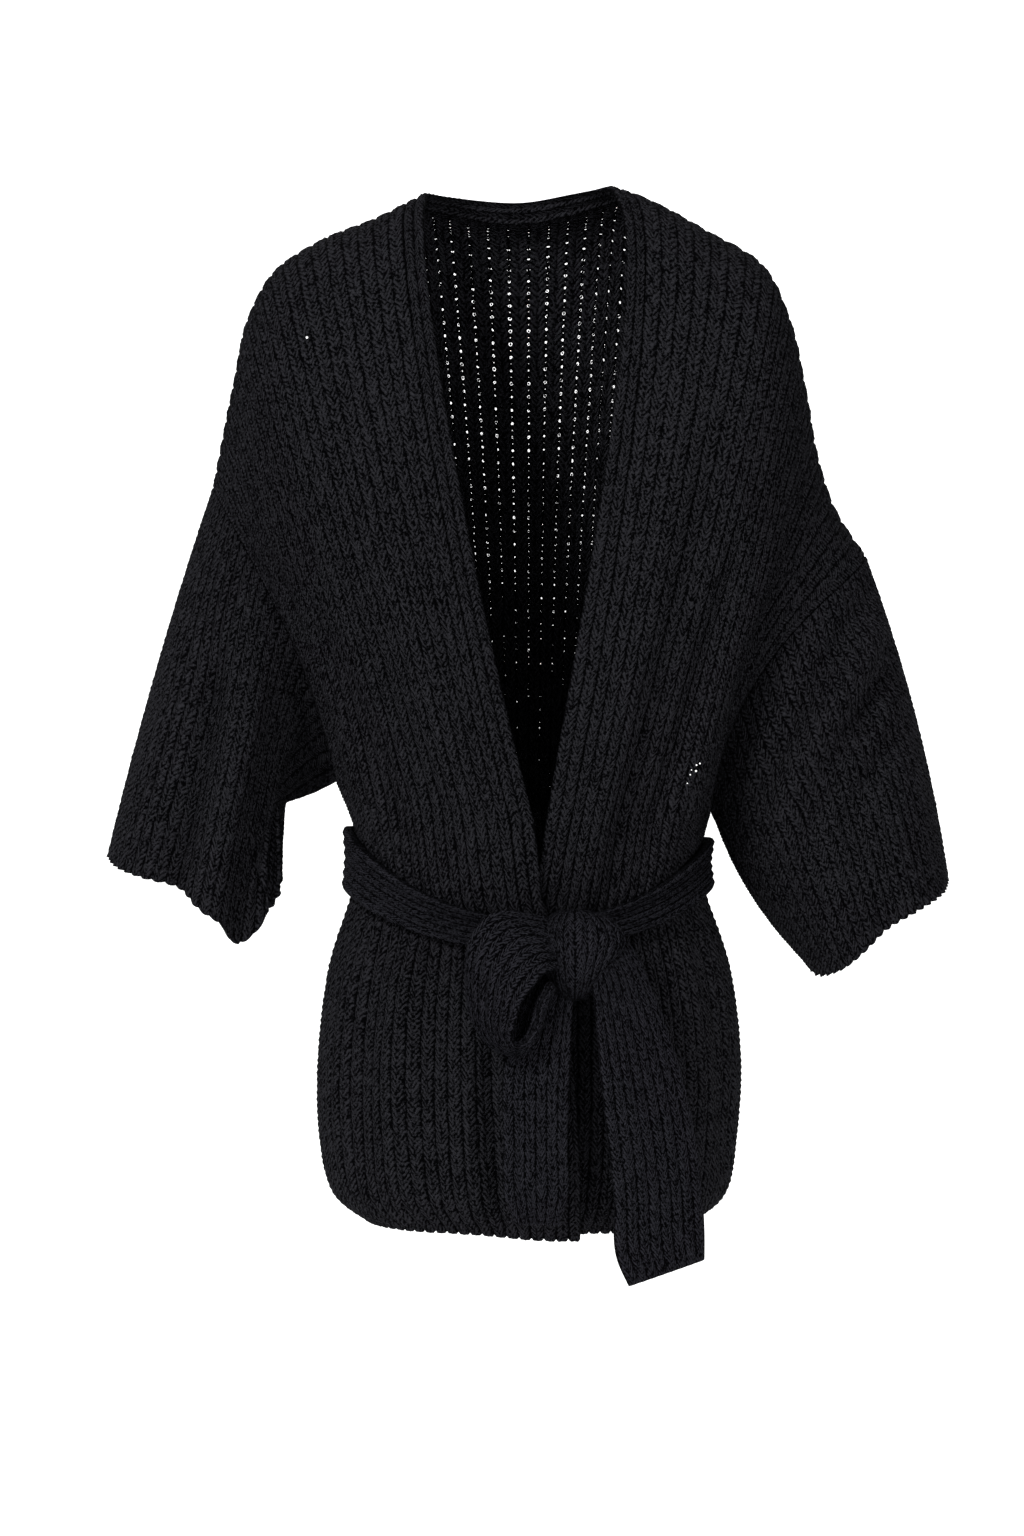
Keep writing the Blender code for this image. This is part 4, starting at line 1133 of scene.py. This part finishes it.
def knit_finish(stitches, name, light, looseness, grooves, slant, gaps):
    """Matte charcoal yarn: painted light on the stitches and painted shade between them, with lighter fibres
    at random and a faint sheen.
    """
    made, tree, shader = material(
        name, Roughness=0.92, Specular_IOR_Level=0.01,
        Sheen_Weight=0.003, Sheen_Roughness=0.55, Sheen_Tint=SHEEN_TINT,
    )
    place = node_of(tree, "ShaderNodeTexCoord").outputs["Object"]
    layout = node_of(tree, "ShaderNodeUVMap", uv_map="stitches").outputs[0]
    knit = node_of(tree, "ShaderNodeGroup", node_tree=stitches)
    tree.links.new(layout, knit.inputs["Ribs and stitches"])
    tree.links.new(place, knit.inputs["Place"])
    # grooves sets how dark the painted shade in the grooves is
    for key, value in (("Looseness", looseness), ("Painted groove shade", grooves), ("Slant", slant)):
        knit.inputs[key].default_value = value
    # The base colour runs from dark to light yarn by the group's tone, which holds random tone, painted light
    # on the crests and painted shade in grooves, between stitches and in pits
    tone = node_of(tree, "ShaderNodeMix", data_type="RGBA")
    tone.inputs[6].default_value = (*YARN_DARK, 1)
    tone.inputs[7].default_value = (*light, 1)
    tree.links.new(knit.outputs["Light"], tone.inputs[0])
    tree.links.new(tone.outputs[2], shader.inputs["Base Color"])
    bump = node_of(tree, "ShaderNodeBump")
    bump.inputs["Strength"].default_value = 1.0
    bump.inputs["Distance"].default_value = YARN_BUMP
    tree.links.new(knit.outputs["Height"], bump.inputs["Height"])
    tree.links.new(bump.outputs[0], shader.inputs["Normal"])
    if gaps:
        math = maths(tree)
        shown = stray_gaps(tree, place)
        if gaps == "rows":
            shown = math("MAXIMUM", shown, row_gaps(tree, layout, place))
        tree.links.new(math("SUBTRACT", 1.0, shown), shader.inputs["Alpha"])
    return made


def paper():
    """A pale floor that curves up behind into a wall."""
    bm = bmesh.new()
    bmesh.ops.create_grid(bm, x_segments=1, y_segments=24, size=1)
    for vert in bm.verts:
        t = (vert.co.y + 1) / 2
        bend = max(0.0, t - 0.5) * np.pi
        depth = PAPER_FRONT + min(t, 0.5) * 2 * PAPER_DEPTH + PAPER_BEND * np.sin(bend)
        vert.co = (vert.co.x * PAPER_WIDTH / 2, depth, FLOOR + PAPER_BEND * (1 - np.cos(bend)))
    top = [edge for edge in bm.edges if all(v.co.z > FLOOR + PAPER_BEND - 0.01 for v in edge.verts)]
    raised = bmesh.ops.extrude_edge_only(bm, edges=top)
    verts = [v for v in raised["geom"] if isinstance(v, bmesh.types.BMVert)]
    bmesh.ops.translate(bm, verts=verts, vec=(0, 0, PAPER_RISE))
    mesh = bpy.data.meshes.new("floor")
    bm.to_mesh(mesh)
    bm.free()
    mesh.shade_smooth()
    white = (1, 1, 1, 1)
    mesh.materials.append(material(
        "pale_paper", Base_Color=(0.92, 0.92, 0.92, 1), Roughness=0.9,
        Emission_Color=white, Emission_Strength=0.7,
    )[0])
    ground = bpy.data.objects.new("floor", mesh)
    bpy.context.scene.collection.objects.link(ground)


def studio():
    """The paper, soft lights, and the camera at the photograph's angle."""
    paper()
    scene = bpy.context.scene
    scene.world = bpy.data.worlds.new("studio")
    scene.world.use_nodes = True
    sky = scene.world.node_tree.nodes["Background"]
    sky.inputs["Color"].default_value = (1, 1, 1, 1)
    sky.inputs["Strength"].default_value = SKY_STRENGTH
    scene.view_settings.view_transform = "Standard"
    for place, size, power in LIGHTS:
        lamp = bpy.data.lights.new("softbox", "AREA")
        lamp.size, lamp.energy = size, power
        holder = bpy.data.objects.new("softbox", lamp)
        holder.location = place
        holder.rotation_euler = (Vector(LIT_POINT) - Vector(place)).to_track_quat("-Z", "Y").to_euler()
        scene.collection.objects.link(holder)
    lens = bpy.data.cameras.new("camera")
    lens.lens = CAMERA_LENS
    camera = bpy.data.objects.new("camera", lens)
    camera.location = CAMERA
    camera.rotation_euler = (np.pi / 2, 0, 0)
    scene.collection.objects.link(camera)
    scene.camera = camera


def main():
    studio()
    stitches = stitch_group()
    body, front, open_knit, belt = (knit_finish(stitches, *look) for look in FINISHES)
    seams = coarse_seams()
    ribs, rows = steps(FRONT_RIBS, FRONT_COLUMNS, BAND_RIBS), body_rows(BODY_ROWS)
    made = [
        panel("back", 3, back_row, steps(BACK_RIBS, BACK_COLUMNS), *body_rows(BACK_ROWS), seams, open_knit),
        panel("front_right", 1, partial(front_row, "right"), ribs, *rows, seams, front),
        panel("front_left", 2, partial(front_row, "left"), ribs, *rows, seams, front),
        band(rows[0], seams, body),
        *(sleeve(*shape, seams, body) for shape in SLEEVES),
        waist_belt(belt),
        *(ribbon(*shape, belt) for shape in RIBBONS),
        knot(belt),
    ]


main()
